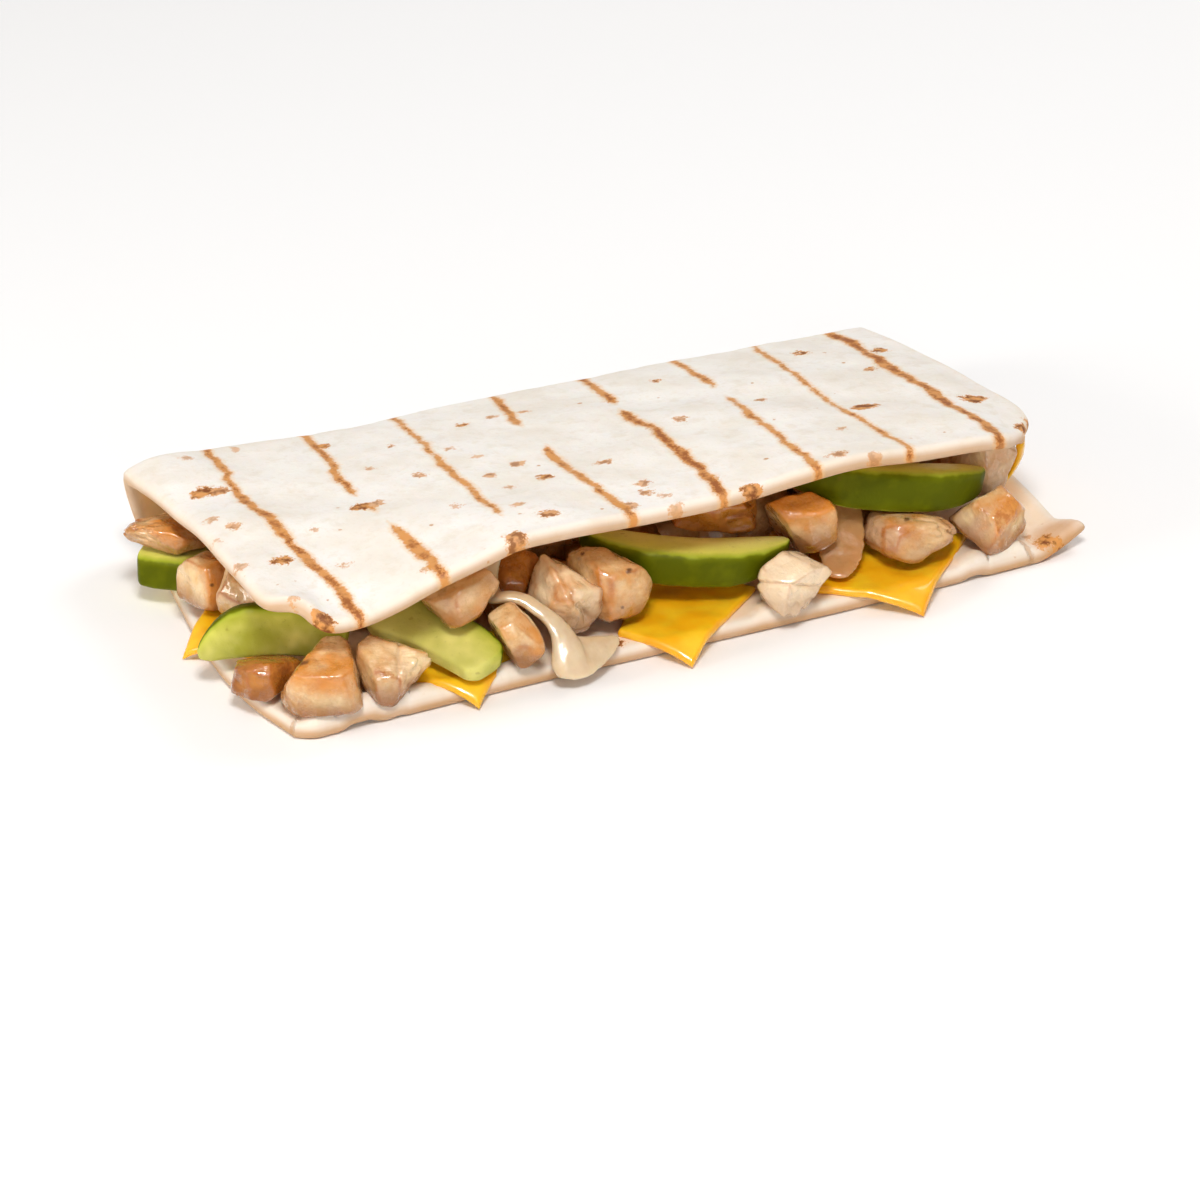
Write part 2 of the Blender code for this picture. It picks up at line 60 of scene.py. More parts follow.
def unit(vectors):
    vectors = np.asarray(vectors, float)
    return vectors / np.linalg.norm(vectors, axis=-1, keepdims=True)


def noise(points, size, seed=0):
    # random numbers at the corners of cubes of this size, blended inside each cube: from -1 to 1
    place = np.asarray(points, float) / size + seed * 17.31
    cell = np.floor(place).astype(np.int64)
    part = place - cell
    part = part**3 * (part * (part * 6 - 15) + 10)
    total = np.zeros(place.shape[:-1])
    for corner in range(8):
        step = np.array([corner & 1, corner >> 1 & 1, corner >> 2])
        key = (cell + step) @ np.array([73856093, 19349663, 83492791])
        key = (key ^ (key >> 13)) * 1274126177 & 0x7FFFFFFF
        value = ((key ^ (key >> 16)) & 0xFFFF) / 32767.5 - 1
        total += value * np.prod(np.where(step, part, 1 - part), -1)
    return total


def layers(points, size, seed=0, count=3):  # noise with finer and weaker noise on it
    return sum(noise(points, size / 2**k, seed + k) / 2**k for k in range(count))


def curveThrough(stations, values, at):  # cubic pieces through the values, with matched slopes
    stations, values = np.asarray(stations, float), np.asarray(values, float)
    at = np.clip(np.asarray(at, float), stations[0], stations[-1])
    slopes = np.gradient(values, stations, axis=0)
    i = np.clip(np.searchsorted(stations, at, side="right") - 1, 0, len(stations) - 2)
    span = stations[i + 1] - stations[i]
    t = (at - stations[i]) / span
    if values.ndim > 1:
        t, span = t[..., None], span[..., None]
    start, end = span * slopes[i] * (t - 2 * t**2 + t**3), span * slopes[i + 1] * (t**3 - t**2)
    return values[i] + start + (values[i + 1] - values[i]) * (3 * t**2 - 2 * t**3) + end


# ---------- meshes

def nodeCorners(node):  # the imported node's corners in millimetres, and its triangles
    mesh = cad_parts[node].data
    corners = np.empty(len(mesh.vertices) * 3)
    mesh.vertices.foreach_get("co", corners)
    mesh.calc_loop_triangles()
    triangles = np.empty(len(mesh.loop_triangles) * 3, np.int32)
    mesh.loop_triangles.foreach_get("vertices", triangles)
    return corners.reshape(-1, 3) / mm, triangles.reshape(-1, 3)


def nodeMiddle(node):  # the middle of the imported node's box in millimetres
    low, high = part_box(node)
    return np.array((low + high) / 2) / mm


def settle(points, node):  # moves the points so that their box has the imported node's middle
    return points + nodeMiddle(node) - (points.min(0) + points.max(0)) / 2


def gridFaces(rows, columns, first=0):
    k = np.arange(rows * columns).reshape(rows, columns) + first
    return np.stack([k[:-1, :-1], k[1:, :-1], k[1:, 1:], k[:-1, 1:]], -1).reshape(-1, 4)


def sheetFaces(rows, columns):  # two grids of points, one after the other, that share their border
    k = np.arange(rows * columns).reshape(rows, columns)
    other = k + rows * columns
    border = np.ones(k.shape, bool)
    border[1:-1, 1:-1] = False
    other[border] = k[border]
    lookup = np.concatenate([k.ravel(), other.ravel()])
    return np.concatenate([gridFaces(rows, columns), lookup[gridFaces(rows, columns, k.size)][:, ::-1]])


def tubeFaces(stations, ring):  # a tube of rings of points, then one point at each end
    k = np.arange(stations * ring).reshape(stations, ring)
    side = np.stack([k[:-1], k[1:], np.roll(k[1:], -1, 1), np.roll(k[:-1], -1, 1)], -1).reshape(-1, 4)
    first, last = np.full(ring, k.size), np.full(ring, k.size + 1)
    ends = [np.stack([first, k[0], np.roll(k[0], -1)], -1), np.stack([last, np.roll(k[-1], -1), k[-1]], -1)]
    return side, np.concatenate(ends)


def volume(points, faces):
    corners = points[faces]
    fans = range(1, faces.shape[1] - 1)
    return sum(np.einsum("ij,ij->i", corners[:, 0], np.cross(corners[:, k], corners[:, k + 1])).sum() for k in fans)


def newPiece(name, points, faceGroups, material, nodes, marks):
    # one closed object from points in millimetres, faces turned outwards, with marks as its attributes
    if sum(volume(points, faces) for faces in faceGroups) < 0:
        faceGroups = [faces[:, ::-1] for faces in faceGroups]
    used = np.zeros(len(points), bool)
    for faces in faceGroups:
        used[faces] = True
    renumber = np.cumsum(used) - 1
    mesh = bpy.data.meshes.new(name)
    allFaces = [face for faces in faceGroups for face in renumber[faces].tolist()]
    mesh.from_pydata((points[used] * mm).tolist(), [], allFaces)
    for mark, values in marks.items():
        values = np.asarray(values, np.float32)[used]
        kind, key = ("FLOAT", "value") if values.ndim == 1 else ("FLOAT_VECTOR", "vector")
        mesh.attributes.new(mark, kind, "POINT").data.foreach_set(key, values.ravel())
    mesh.shade_smooth()
    mesh.materials.append(material)
    piece = bpy.data.objects.new(name, mesh)
    bpy.context.scene.collection.objects.link(piece)
    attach(piece, "root")
    if nodes:
        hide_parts(*nodes)
    return piece


# ---------- finishes

class Wire:  # an output socket on which sums add their Math nodes
    def __init__(self, finish, socket):
        self.finish = finish
        self.socket = socket

    def sum(self, operation, *values, **settings):
        inputs = dict(enumerate(values))
        return self.finish.add("ShaderNodeMath", {"operation": operation, **settings}, inputs)

    def __add__(self, other):
        return self.sum("ADD", self, other)

    def __sub__(self, other):
        return self.sum("SUBTRACT", self, other)

    def __rsub__(self, other):
        return self.sum("SUBTRACT", other, self)

    def __mul__(self, other):
        return self.sum("MULTIPLY", self, other)

    def __truediv__(self, other):
        return self.sum("DIVIDE", self, other)

    def __abs__(self):
        return self.sum("ABSOLUTE", self)

    __radd__ = __add__
    __rmul__ = __mul__

    def between(self, start, end):  # 0 at start, 1 at end, held beyond them
        return self.finish.add(
            "ShaderNodeMapRange", {"interpolation_type": "SMOOTHSTEP"}, {0: self, 1: start, 2: end, 3: 0.0, 4: 1.0}
        )

    def highest(self, other):
        return self.sum("MAXIMUM", self, other)

    def lowest(self, other):
        return self.sum("MINIMUM", self, other)


class Finish:  # a material with one Principled shader, and calls that add nodes to it
    def __init__(self, name, **constants):
        self.material = bpy.data.materials.new(name)
        self.material.use_nodes = True
        self.tree = self.material.node_tree
        self.shader = self.tree.nodes["Principled BSDF"]
        for socket, value in constants.items():
            self.shader.inputs[socket.replace("_", " ")].default_value = value

    def add(self, kind, settings=None, inputs=None, output=0):
        node = self.tree.nodes.new(kind)
        for key, value in (settings or {}).items():
            if key == "stops":
                self.setStops(node.color_ramp, value)
            else:
                setattr(node, key, value)
        for key, value in (inputs or {}).items():
            if isinstance(value, Wire):
                self.tree.links.new(value.socket, node.inputs[key])
            else:
                node.inputs[key].default_value = value
        return Wire(self, node.outputs[output])

    def setStops(self, ramp, stops):
        while len(ramp.elements) < len(stops):
            ramp.elements.new(1.0)
        for element, (place, colour) in zip(ramp.elements, stops):
            element.position = place
            element.color = colour

    def mark(self, name, output=2):  # a number kept on the mesh: output 1 for a vector
        return self.add("ShaderNodeAttribute", {"attribute_name": name}, output=output)

    def place(self):
        return self.add("ShaderNodeTexCoord", output=3)

    def speckle(self, where, size, detail=2.0, rough=0.5, stretch=(1, 1, 1)):
        # noise from 0 to 1 whose lumps are about size millimetres across
        scaled = self.add("ShaderNodeMapping", None, {0: where, 3: stretch})
        inputs = {"Vector": scaled, "Scale": 1 / (size * mm), "Detail": detail, "Roughness": rough}
        return self.add("ShaderNodeTexNoise", None, inputs)

    def blend(self, share, low, high):
        return self.add("ShaderNodeMix", {"data_type": "RGBA"}, {0: share, 6: low, 7: high}, 2)

    def ramp(self, value, *stops):
        return self.add("ShaderNodeValToRGB", {"stops": stops}, {0: value})

    def relief(self, height, distance, strength=1.0):  # distance in millimetres
        return self.add("ShaderNodeBump", None, {"Strength": strength, "Distance": distance * mm, "Height": height})

    def link(self, **wires):
        for socket, wire in wires.items():
            self.tree.links.new(wire.socket, self.shader.inputs[socket.replace("_", " ")])


def tone(red, green, blue):  # a colour as a screen shows it, made linear
    parts = [value / 255 for value in (red, green, blue)]
    return tuple(p / 12.92 if p <= 0.04045 else ((p + 0.055) / 1.055) ** 2.4 for p in parts) + (1.0,)


# ---------- tortilla

bread = {
    "side": 305 / math.sqrt(2),  # of the square that the turned-in disc makes
    "sheet": 4.0,
    "depth": 96.0,  # of a panel, from its open edge to where the fold turns
    "bulge": 5.0,
    "foldY": 51.5,
    "lowerEdgeY": -47.0,
    "upperEdgeY": -44.0,
    "backX": (-105, -99, -84, -58, -10, 42, 97),
    "backZ": (24.2, 26.2, 25.0, 22.8, 22.0, 20.4, 17.8),
    "crestX": (-105, -92, -80, -65, -44, 0, 30, 60, 84, 101),
    "crestZ": (31, 32, 33, 35, 37.8, 37, 38, 37, 35, 31),
    "edgeX": (-105, -99, -92, -84, -76, -65, -54, -44, -34, -10, 12, 30, 45, 60, 84, 93, 101),
    "edgeZ": (31, 29.5, 26.4, 26.0, 27.6, 31.4, 34.4, 37.0, 37.2, 36.0, 35.6, 37.0, 37.6, 35.8, 33.4, 31.0, 29.5),
    "lowerShare": (0.0, 0.12, 0.3, 0.5, 0.7, 1.0),
    "lowerLeft": (-102.5, -105.5, -107.0, -106.0, -103.6, -99.8),
    "lowerRight": (105.0, 105.0, 106.5, 107.0, 104.5, 98.0),
    "upperShare": (0.0, 0.25, 0.5, 0.8, 1.0),
    "upperLeft": (-105.5, -103.8, -103.4, -104.4, -105.5),
    "upperRight": (97.5, 99.6, 100.4, 101.6, 102.5),
    # corners of the upper panel drawn in: place, way in, pull, width, reach
    "corners": (((-105.5, -44.0), (1, 1), 10.5, 6.5, 34.0), ((102.5, -44.0), (-1, 1), 11.5, 11.0, 40.0)),
    "ear": (106.0, -46.0, 13.0, 4.5),  # loose corner of the lower panel: place, size, rise
    "blister": 0.26,
    "roll": 2.3,  # how far the lower rim swells where no filling lies on it
    "ripple": 1.3,
    "bare": ((-98, -66), (-53, -42), (18, 30), (73, 90)),
    "columns": 248,
    "rows": (52, 26, 108),  # over the lower panel, the fold and the upper panel
}

# Marks of the grill bars: X at the fold, at mid depth and at the open edge, then each run along Y with
# where it starts and ends, its half width and how dark it is.
grillBars = (
    ((-83.2, -86.2, -83.4), ((60, -46, 1.1, 0.7),)),
    ((-56.7, -62.7, -62.0), ((60, 8, 1.0, 0.65), (-1, -5, 2.2, 0.7), (-15, -46, 1.4, 0.6))),
    ((-33.3, -38.2, -42.2), ((60, -28, 0.75, 0.6),)),
    ((-6.6, -12.6, -14.0), ((60, 27, 0.95, 0.75), (9, -46, 0.95, 0.5))),
    ((18.2, 14.0, 10.8), ((60, 29, 1.1, 0.7), (23, -46, 1.25, 0.9))),
    ((44.1, 39.5, 34.5), ((60, 25, 0.9, 0.4), (16, -46, 0.85, 0.45))),
    ((66.8, 60.4, 60.0), ((60, -46, 0.7, 0.6),)),
    ((88.5, 85.6, 84.6), ((60, -46, 1.5, 0.75),)),
)
# Toasted freckles of the upper panel: X, Y, half length across the bars, how dark
toastSpots = (
    (-93.4, 28.4, 2.6, 0.9), (-89.8, 27.6, 2.4, 0.7), (-91.4, -16.1, 2.3, 0.8), (-98.5, 11.0, 1.3, 0.5),
    (-95.1, 5.0, 1.5, 0.6), (-100.9, 1.4, 0.9, 0.4), (-101.6, -13.9, 1.7, 0.5), (-96.0, -35.0, 1.0, 0.5),
    (-92.2, -42.0, 2.2, 1.3), (-64.4, -0.2, 2.4, 0.9), (-61.0, -0.6, 2.0, 0.6), (-79.0, -23.9, 1.1, 0.5),
    (-78.9, -6.5, 0.8, 0.5), (-53.0, 20.2, 1.2, 0.5), (-42.8, 32.2, 1.0, 0.6), (-44.7, 9.1, 1.4, 0.6),
    (-55.9, 42.7, 1.7, 0.9), (-65.3, -38.6, 1.2, 0.5), (-76.2, 50.2, 1.0, 0.5), (-89.4, 48.4, 1.4, 0.5),
    (-21.4, 36.0, 1.2, 1.2), (-13.7, 37.1, 1.1, 0.6), (-22.8, 2.2, 1.6, 0.6), (-31.8, -2.1, 1.2, 0.6),
    (-32.3, 21.1, 1.0, 0.5), (-29.2, 11.4, 1.1, 0.5), (-4.8, 36.9, 1.0, 0.6), (-21.3, -10.6, 2.0, 0.8),
    (-5.4, -10.0, 1.5, 0.6), (16.3, 31.0, 1.2, 0.6), (22.6, 5.5, 1.6, 0.6), (31.9, 38.8, 1.3, 0.7),
    (-3.0, -26.6, 1.6, 0.6), (-4.7, -32.3, 1.5, 0.6), (-2.0, -37.1, 1.2, 0.5), (-12.6, -37.8, 2.4, 0.6),
    (-31.2, -35.0, 1.8, 0.7), (-35.2, -25.1, 1.6, 0.6), (-46.3, -15.8, 1.2, 0.5), (-30.0, -10.9, 1.1, 0.5),
    (12.5, -34.8, 1.2, 0.5), (-43.5, -42.5, 2.6, 0.7), (17.6, -43.8, 2.2, 0.9), (73.4, 39.9, 1.9, 0.8),
    (81.1, 17.2, 1.6, 0.7), (91.0, 31.8, 2.2, 0.9), (92.9, -13.6, 2.8, 0.8), (65.6, -9.3, 2.8, 0.8),
    (52.7, -22.1, 1.3, 0.5), (42.6, -39.5, 2.0, 0.6), (46.9, 10.0, 1.2, 0.6), (96.4, -34.0, 2.2, 1.0),
    (101.0, -30.0, 2.0, 0.9), (50.3, -43.7, 1.4, 0.5), (-1.7, -43.5, 1.2, 0.5), (-101.4, -36.4, 1.6, 1.1),
    (-98.9, -37.9, 1.5, 1.1),
)
# The same on the lower panel, then browned creases: both ends of each
lowerSpots = ((-17.2, -42.4, 1.5, 0.8), (96.5, -44.2, 2.2, 1.3), (99.6, -46.0, 1.2, 1.0), (94.0, -40.0, 1.2, 0.5))
lowerCreases = (
    (-96.0, -39.6, -102.0, -43.2), (90.0, -40.0, 92.6, -52.0),
)


def bareRim(x):  # one where no filling lies on the rim of the lower panel
    return sum(smooth(start - 3, start + 3, x) * smooth(end + 3, end - 3, x) for start, end in bread["bare"])


def lowerPanel(across, share):
    # left to right between two curved ends, from the wavy open edge straight back, one corner turned up
    left = curveThrough(bread["lowerShare"], bread["lowerLeft"], share)
    right = curveThrough(bread["lowerShare"], bread["lowerRight"], share)
    x = left + (right - left) * across
    edge = bread["lowerEdgeY"] - 0.9 * np.sin(x / 34.0) + 5.0 * np.clip((-96.0 - x) / 8.0, 0, 1) ** 2
    y = edge + (bread["foldY"] - edge) * share
    earX, earY, size, rise = bread["ear"]
    near = np.clip(1 - np.hypot(x - earX, y - earY) / size, 0, 1) ** 1.3
    ripple = noise(np.stack([x, 0 * x, 0 * x], -1), 9.0, 41) + 0.6 * noise(np.stack([x, 0 * x, 0 * x], -1), 4.0, 42)
    ripple = bread["ripple"] * np.clip(ripple, 0, 1) * smooth(0.16, 0.02, share) * bareRim(x)
    return np.stack([x + 2.0 * near, y + 3.0 * near, bread["sheet"] / 2 + rise * near + ripple], -1)


def upperPanel(across, share):
    # rises from the fold towards the crest, droops to the open edge, and swells over the filling
    left = curveThrough(bread["upperShare"], bread["upperLeft"], share)
    right = curveThrough(bread["upperShare"], bread["upperRight"], share)
    x = left + (right - left) * across
    y = bread["foldY"] + (bread["upperEdgeY"] - bread["foldY"]) * share
    back = curveThrough(bread["backX"], bread["backZ"], x)
    crest = curveThrough(bread["crestX"], bread["crestZ"], x)
    droop = crest - curveThrough(bread["edgeX"], bread["edgeZ"], x)
    waves = ((2.1, 1.3, 0.4), (3.7, 2.6, 1.9), (5.3, 3.1, 4.0))
    u, v = x / (bread["side"] / 2) * math.pi, y / (bread["depth"] / 2) * math.pi
    swell = 0.4 * sum(np.sin(u * a + phase) * np.cos(v * b + phase) for a, b, phase in waves)
    z = back + (crest - back) * share**0.9 - droop * share**5 + swell * np.sin(share * math.pi)
    for (cornerX, cornerY), inwards, pull, width, reach in bread["corners"]:
        inward = ((x - cornerX) * inwards[0] + (y - cornerY) * inwards[1]) / math.sqrt(2)
        beside = ((x - cornerX) * inwards[1] - (y - cornerY) * inwards[0]) / math.sqrt(2)
        shift = pull * np.exp(-((beside / width) ** 2)) * np.clip(1 - np.abs(inward) / reach, 0, 1) ** 2
        x, y = x + shift * inwards[0] / math.sqrt(2), y + shift * inwards[1] / math.sqrt(2)
    return np.stack([x, y, z], -1)


def sheetMiddle(across, along):
    # along runs 0 to 1 back over the lower panel, 1 to 2 round the fold, 2 to 3 forward over the upper one
    lower = lowerPanel(across, np.clip(along, 0, 1))
    upper = upperPanel(across, np.clip(along - 2, 0, 1))
    foot, head = lowerPanel(across, np.ones_like(along)), upperPanel(across, np.zeros_like(along))
    angle = (np.clip(along - 1, 0, 1) - 0.5) * math.pi
    bend = (foot + head) / 2 + (head - foot) / 2 * np.sin(angle)[..., None]
    bend[..., 1] += bread["bulge"] * np.cos(angle)
    return np.where((along <= 1)[..., None], lower, np.where((along < 2)[..., None], bend, upper))


def grillMarks(x, y):
    # of all the runs, the one that the point is deepest in: how far beside it, its half width, its darkness
    beside, half, dark = np.full(x.shape, 99.0), np.full(x.shape, -99.0), np.zeros(x.shape)
    for atX, runs in grillBars:
        middle = curveThrough((-44.0, 4.0, 52.0), atX[::-1], y)
        flat = np.stack([middle, y, 0 * y], -1)
        middle = middle + 0.9 * noise(flat, 9.0, 31) + 0.45 * noise(flat, 3.0, 32)
        for start, end, width, darkness in runs:
            thick = width * (1.0 + 0.35 * noise(flat, 7.0, 33) + 0.25 * noise(flat, 2.2, 34))
            thick = np.minimum(thick, np.minimum(start - y, y - end) * 0.45)
            deeper = np.abs(x - middle) - thick < beside - half
            beside, half = np.where(deeper, np.abs(x - middle), beside), np.where(deeper, thick, half)
            dark = np.where(deeper, darkness, dark)
    return beside, half, dark


def spotMarks(x, y, spots):  # how far past the rim of the nearest freckle, and how dark that one is
    nearest, dark = np.full(x.shape, 99.0), np.zeros(x.shape)
    for spotX, spotY, size, darkness in spots:
        away = np.hypot(x - spotX, (y - spotY) * 1.2) - 1.2 * size
        dark = np.where(away < nearest, darkness, dark)
        nearest = np.minimum(nearest, away)
    return nearest, dark


def creaseMarks(x, y, creases):  # how far the nearest crease is
    nearest = np.full(x.shape, 99.0)
    for startX, startY, endX, endY in creases:
        runX, runY = endX - startX, endY - startY
        t = np.clip(((x - startX) * runX + (y - startY) * runY) / (runX**2 + runY**2), 0, 1)
        nearest = np.minimum(nearest, np.hypot(x - startX - t * runX, y - startY - t * runY))
    return nearest


def makeTortilla(material):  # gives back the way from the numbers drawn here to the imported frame
    length, depth, sheet = bread["side"], bread["depth"], bread["sheet"]
    rim = (1 - np.cos(np.linspace(0, 1, 6) * math.pi / 2)) * sheet / 2
    inner = np.linspace(rim[-1], length - rim[-1], bread["columns"] - 10)[1:-1]
    across = np.concatenate([rim, inner, length - rim[::-1]]) / length
    lowerRows, foldRows, upperRows = bread["rows"]
    lower = np.concatenate([rim / depth, np.linspace(rim[-1] / depth, 1, lowerRows)[1:]])
    fold = 1 + np.linspace(0, 1, foldRows)[1:]
    upper = 2 + np.concatenate([np.linspace(0, 1 - rim[-1] / depth, upperRows)[1:], 1 - rim[::-1][1:] / depth])
    u, v = np.meshgrid(across, np.concatenate([lower, fold, upper]), indexing="ij")
    small = 1e-3
    middle = sheetMiddle(u, v)
    alongU = sheetMiddle(np.minimum(u + small, 1), v) - sheetMiddle(np.maximum(u - small, 0), v)
    alongV = sheetMiddle(u, np.minimum(v + small, 3)) - sheetMiddle(u, np.maximum(v - small, 0))
    normal = unit(np.cross(alongU, alongV))
    fromRim = np.minimum(np.minimum(u, 1 - u) * length, np.minimum(v, 3 - v) * depth)
    inwards = np.clip(fromRim / (sheet / 2), 0, 1)
    half = sheet / 2 * np.sqrt(1 - (1 - inwards) ** 2)
    halfway = half[..., None] * normal
    plain = np.concatenate([(middle - halfway).reshape(-1, 3), (middle + halfway).reshape(-1, 3)])
    shift = nodeMiddle("tortilla") - (plain.min(0) + plain.max(0)) / 2
    uneven = bread["blister"] * smooth(0, 6, fromRim) * smooth(1.2, 2.0, v)
    points = plain.copy()
    points[: u.size] -= ((uneven * layers(middle, 11.0, 3))[..., None] * normal).reshape(-1, 3)
    fromFront = v * depth
    roll = bread["roll"] * bareRim(middle[..., 0]) * (1 + 0.4 * noise(middle, 9.0, 5)) * np.exp(-(((fromFront - 3.6) / 2.8) ** 2))
    points[u.size :] += ((roll * smooth(0, 1.6, fromFront))[..., None] * normal).reshape(-1, 3)
    points += shift
    x, y = points[:, 0], points[:, 1]
    beside, thick, dark = grillMarks(x, y)
    side = np.concatenate([np.zeros(u.size), np.ones(u.size)])
    onUpper = np.concatenate([(v > 1.3).ravel(), (v > 2.95).ravel()])
    onLower = np.concatenate([(v < 0.03).ravel(), (v < 0.9).ravel()])
    (upperNear, upperDark), (lowerNear, lowerDark) = spotMarks(x, y, toastSpots), spotMarks(x, y, lowerSpots)
    rounding = np.sqrt(1 - (1 - inwards) ** 2)
    upwards = np.concatenate([(-normal[..., 2] * rounding).ravel(), (normal[..., 2] * rounding).ravel()])
    rimBand = np.tile(1 - smooth(1.5, 5.0, fromRim).ravel(), 2)
    marks = {
        "grillBeside": beside, "grillHalf": np.where(onUpper, thick, -99.0), "grillDark": dark,
        "spot": np.where(onUpper, upperNear, np.where(onLower, lowerNear, 99.0)),
        "spotDark": np.where(onUpper, upperDark, lowerDark),
        "crease": np.where(onLower, creaseMarks(x, y, lowerCreases), 99.0),
        # inside: the inner side of the sheet, tinted warm tan: toast, and painted warm light bounced inside the fold
        "inside": side * np.tile((smooth(0.5, 4.0, fromRim) * np.where(v < 1, 0.4, 1.0)).ravel(), 2),
        "scorched": onLower * smooth(9.0, 3.0, np.hypot(x - bread["ear"][0] + 6.0, y - bread["ear"][1] - 2.0)),
        # rim: where the rim faces down it is painted darker tan, partly toast and partly painted shade
        "rim": smooth(0.95, -0.1, upwards) * rimBand * np.tile(np.where(v < 1.5, 1.0, 0.85).ravel(), 2), "softRim": np.tile(1 - smooth(0.3, 3.0, fromRim).ravel(), 2),
    }
    newPiece("foldedTortilla", points, [sheetFaces(*u.shape)], material, ["tortilla"], marks)
    return shift


def tortillaFinish():
    finish = Finish(
        "tortillaBread", Subsurface_Weight=0.2, Subsurface_Scale=0.003, Subsurface_Radius=(1.0, 0.6, 0.35),
        Specular_IOR_Level=0.3,
    )
    where = finish.place()
    cloud = finish.speckle(where, 16, 3)
    fine = finish.speckle(where, 1.3, 3, 0.6)
    colour = finish.blend(cloud.between(0.35, 0.7), tone(242, 237, 231), tone(235, 227, 216))
    colour = finish.blend(fine.between(0.52, 0.75) * 0.3, colour, tone(228, 212, 192))
    colour = finish.blend(finish.speckle(where, 4.5, 4, 0.6).between(0.5, 0.7) * 0.45, colour, tone(226, 215, 199))
    colour = finish.blend(finish.mark("softRim") * 0.3, colour, tone(240, 216, 184))
    # painted shade with some toast: the downward-facing part of the rim goes darker tan
    colour = finish.blend(finish.mark("rim") * (0.6 + cloud * 0.5), colour, tone(198, 152, 102))
    # toast together with painted warm bounce light on the inner side of the sheet
    colour = finish.blend(finish.mark("inside") * 0.9, colour, tone(255, 206, 136))
    colour = finish.blend(finish.mark("scorched") * (cloud + 0.3), colour, tone(206, 152, 96))
    # small toasted dots: cells whose random number is high hold one, and its size follows that number
    cells = {"Vector": where, "Scale": 1 / (4.6 * mm), "Randomness": 1.0}
    distance = finish.add("ShaderNodeTexVoronoi", None, cells, 0)
    chance = finish.add("ShaderNodeSeparateColor", None, {0: finish.add("ShaderNodeTexVoronoi", None, cells, 1)})
    wobble = finish.speckle(where, 3.2, 4, 0.7) - 0.5
    grit = finish.speckle(where, 0.8, 4, 0.75) - 0.5
    dot = (chance.between(0.72, 1.0) * 0.16 - distance + grit * 0.25).between(0.0, 0.07)
    dot = dot * chance.between(0.72, 0.78) * (1 - finish.mark("inside"))
    line = finish.mark("grillBeside") - finish.mark("grillHalf") * 0.9 + grit * 1.3 + wobble * 1.9
    halo = line.between(1.5, 0.2)
    grill = line.between(0.5, -0.3)
    char = finish.mark("grillDark") + (finish.speckle(where, 5, 3, 0.6) - 0.5) * 3.4
    core = (line + grit * 1.4).between(-0.1, -0.9) * char.between(0.3, 1.0)
    spot = finish.mark("spot") + wobble * 7.0 + grit * 2.5
    spotShare = (finish.mark("spotDark") * 1.3).lowest(1.0)
    blotch = spot.between(0.45, -0.5) * spotShare
    patchy = finish.speckle(where, 2.4, 3).between(0.38, 0.58)
    blotchCore = spot.between(-0.1, -1.1) * finish.mark("spotDark").between(0.3, 0.85) * patchy
    crease = (finish.mark("crease") + grit * 1.5 + wobble * 2.5).between(1.1, 0.0)
    colour = finish.blend(dot * 0.8, colour, tone(198, 142, 84))
    colour = finish.blend(halo * 0.45, colour, tone(236, 186, 122))
    colour = finish.blend(blotch * 0.95, colour, tone(216, 148, 72))
    colour = finish.blend(blotchCore * 0.95, colour, tone(124, 64, 20))
    colour = finish.blend(grill * 0.92, colour, tone(214, 144, 68))
    colour = finish.blend(core * 0.9, colour, tone(150, 80, 30))
    colour = finish.blend(crease * 0.55, colour, tone(190, 136, 78))
    height = cloud * 0.5 + fine * 0.18 - grill * 0.35 - crease * 0.8 + finish.speckle(where, 4.5, 3) * 0.6
    finish.link(
        Base_Color=colour,
        Roughness=0.62 + fine * 0.12 - grill * 0.1,
        Normal=finish.relief(height, 0.35),
    )
    return finish.material
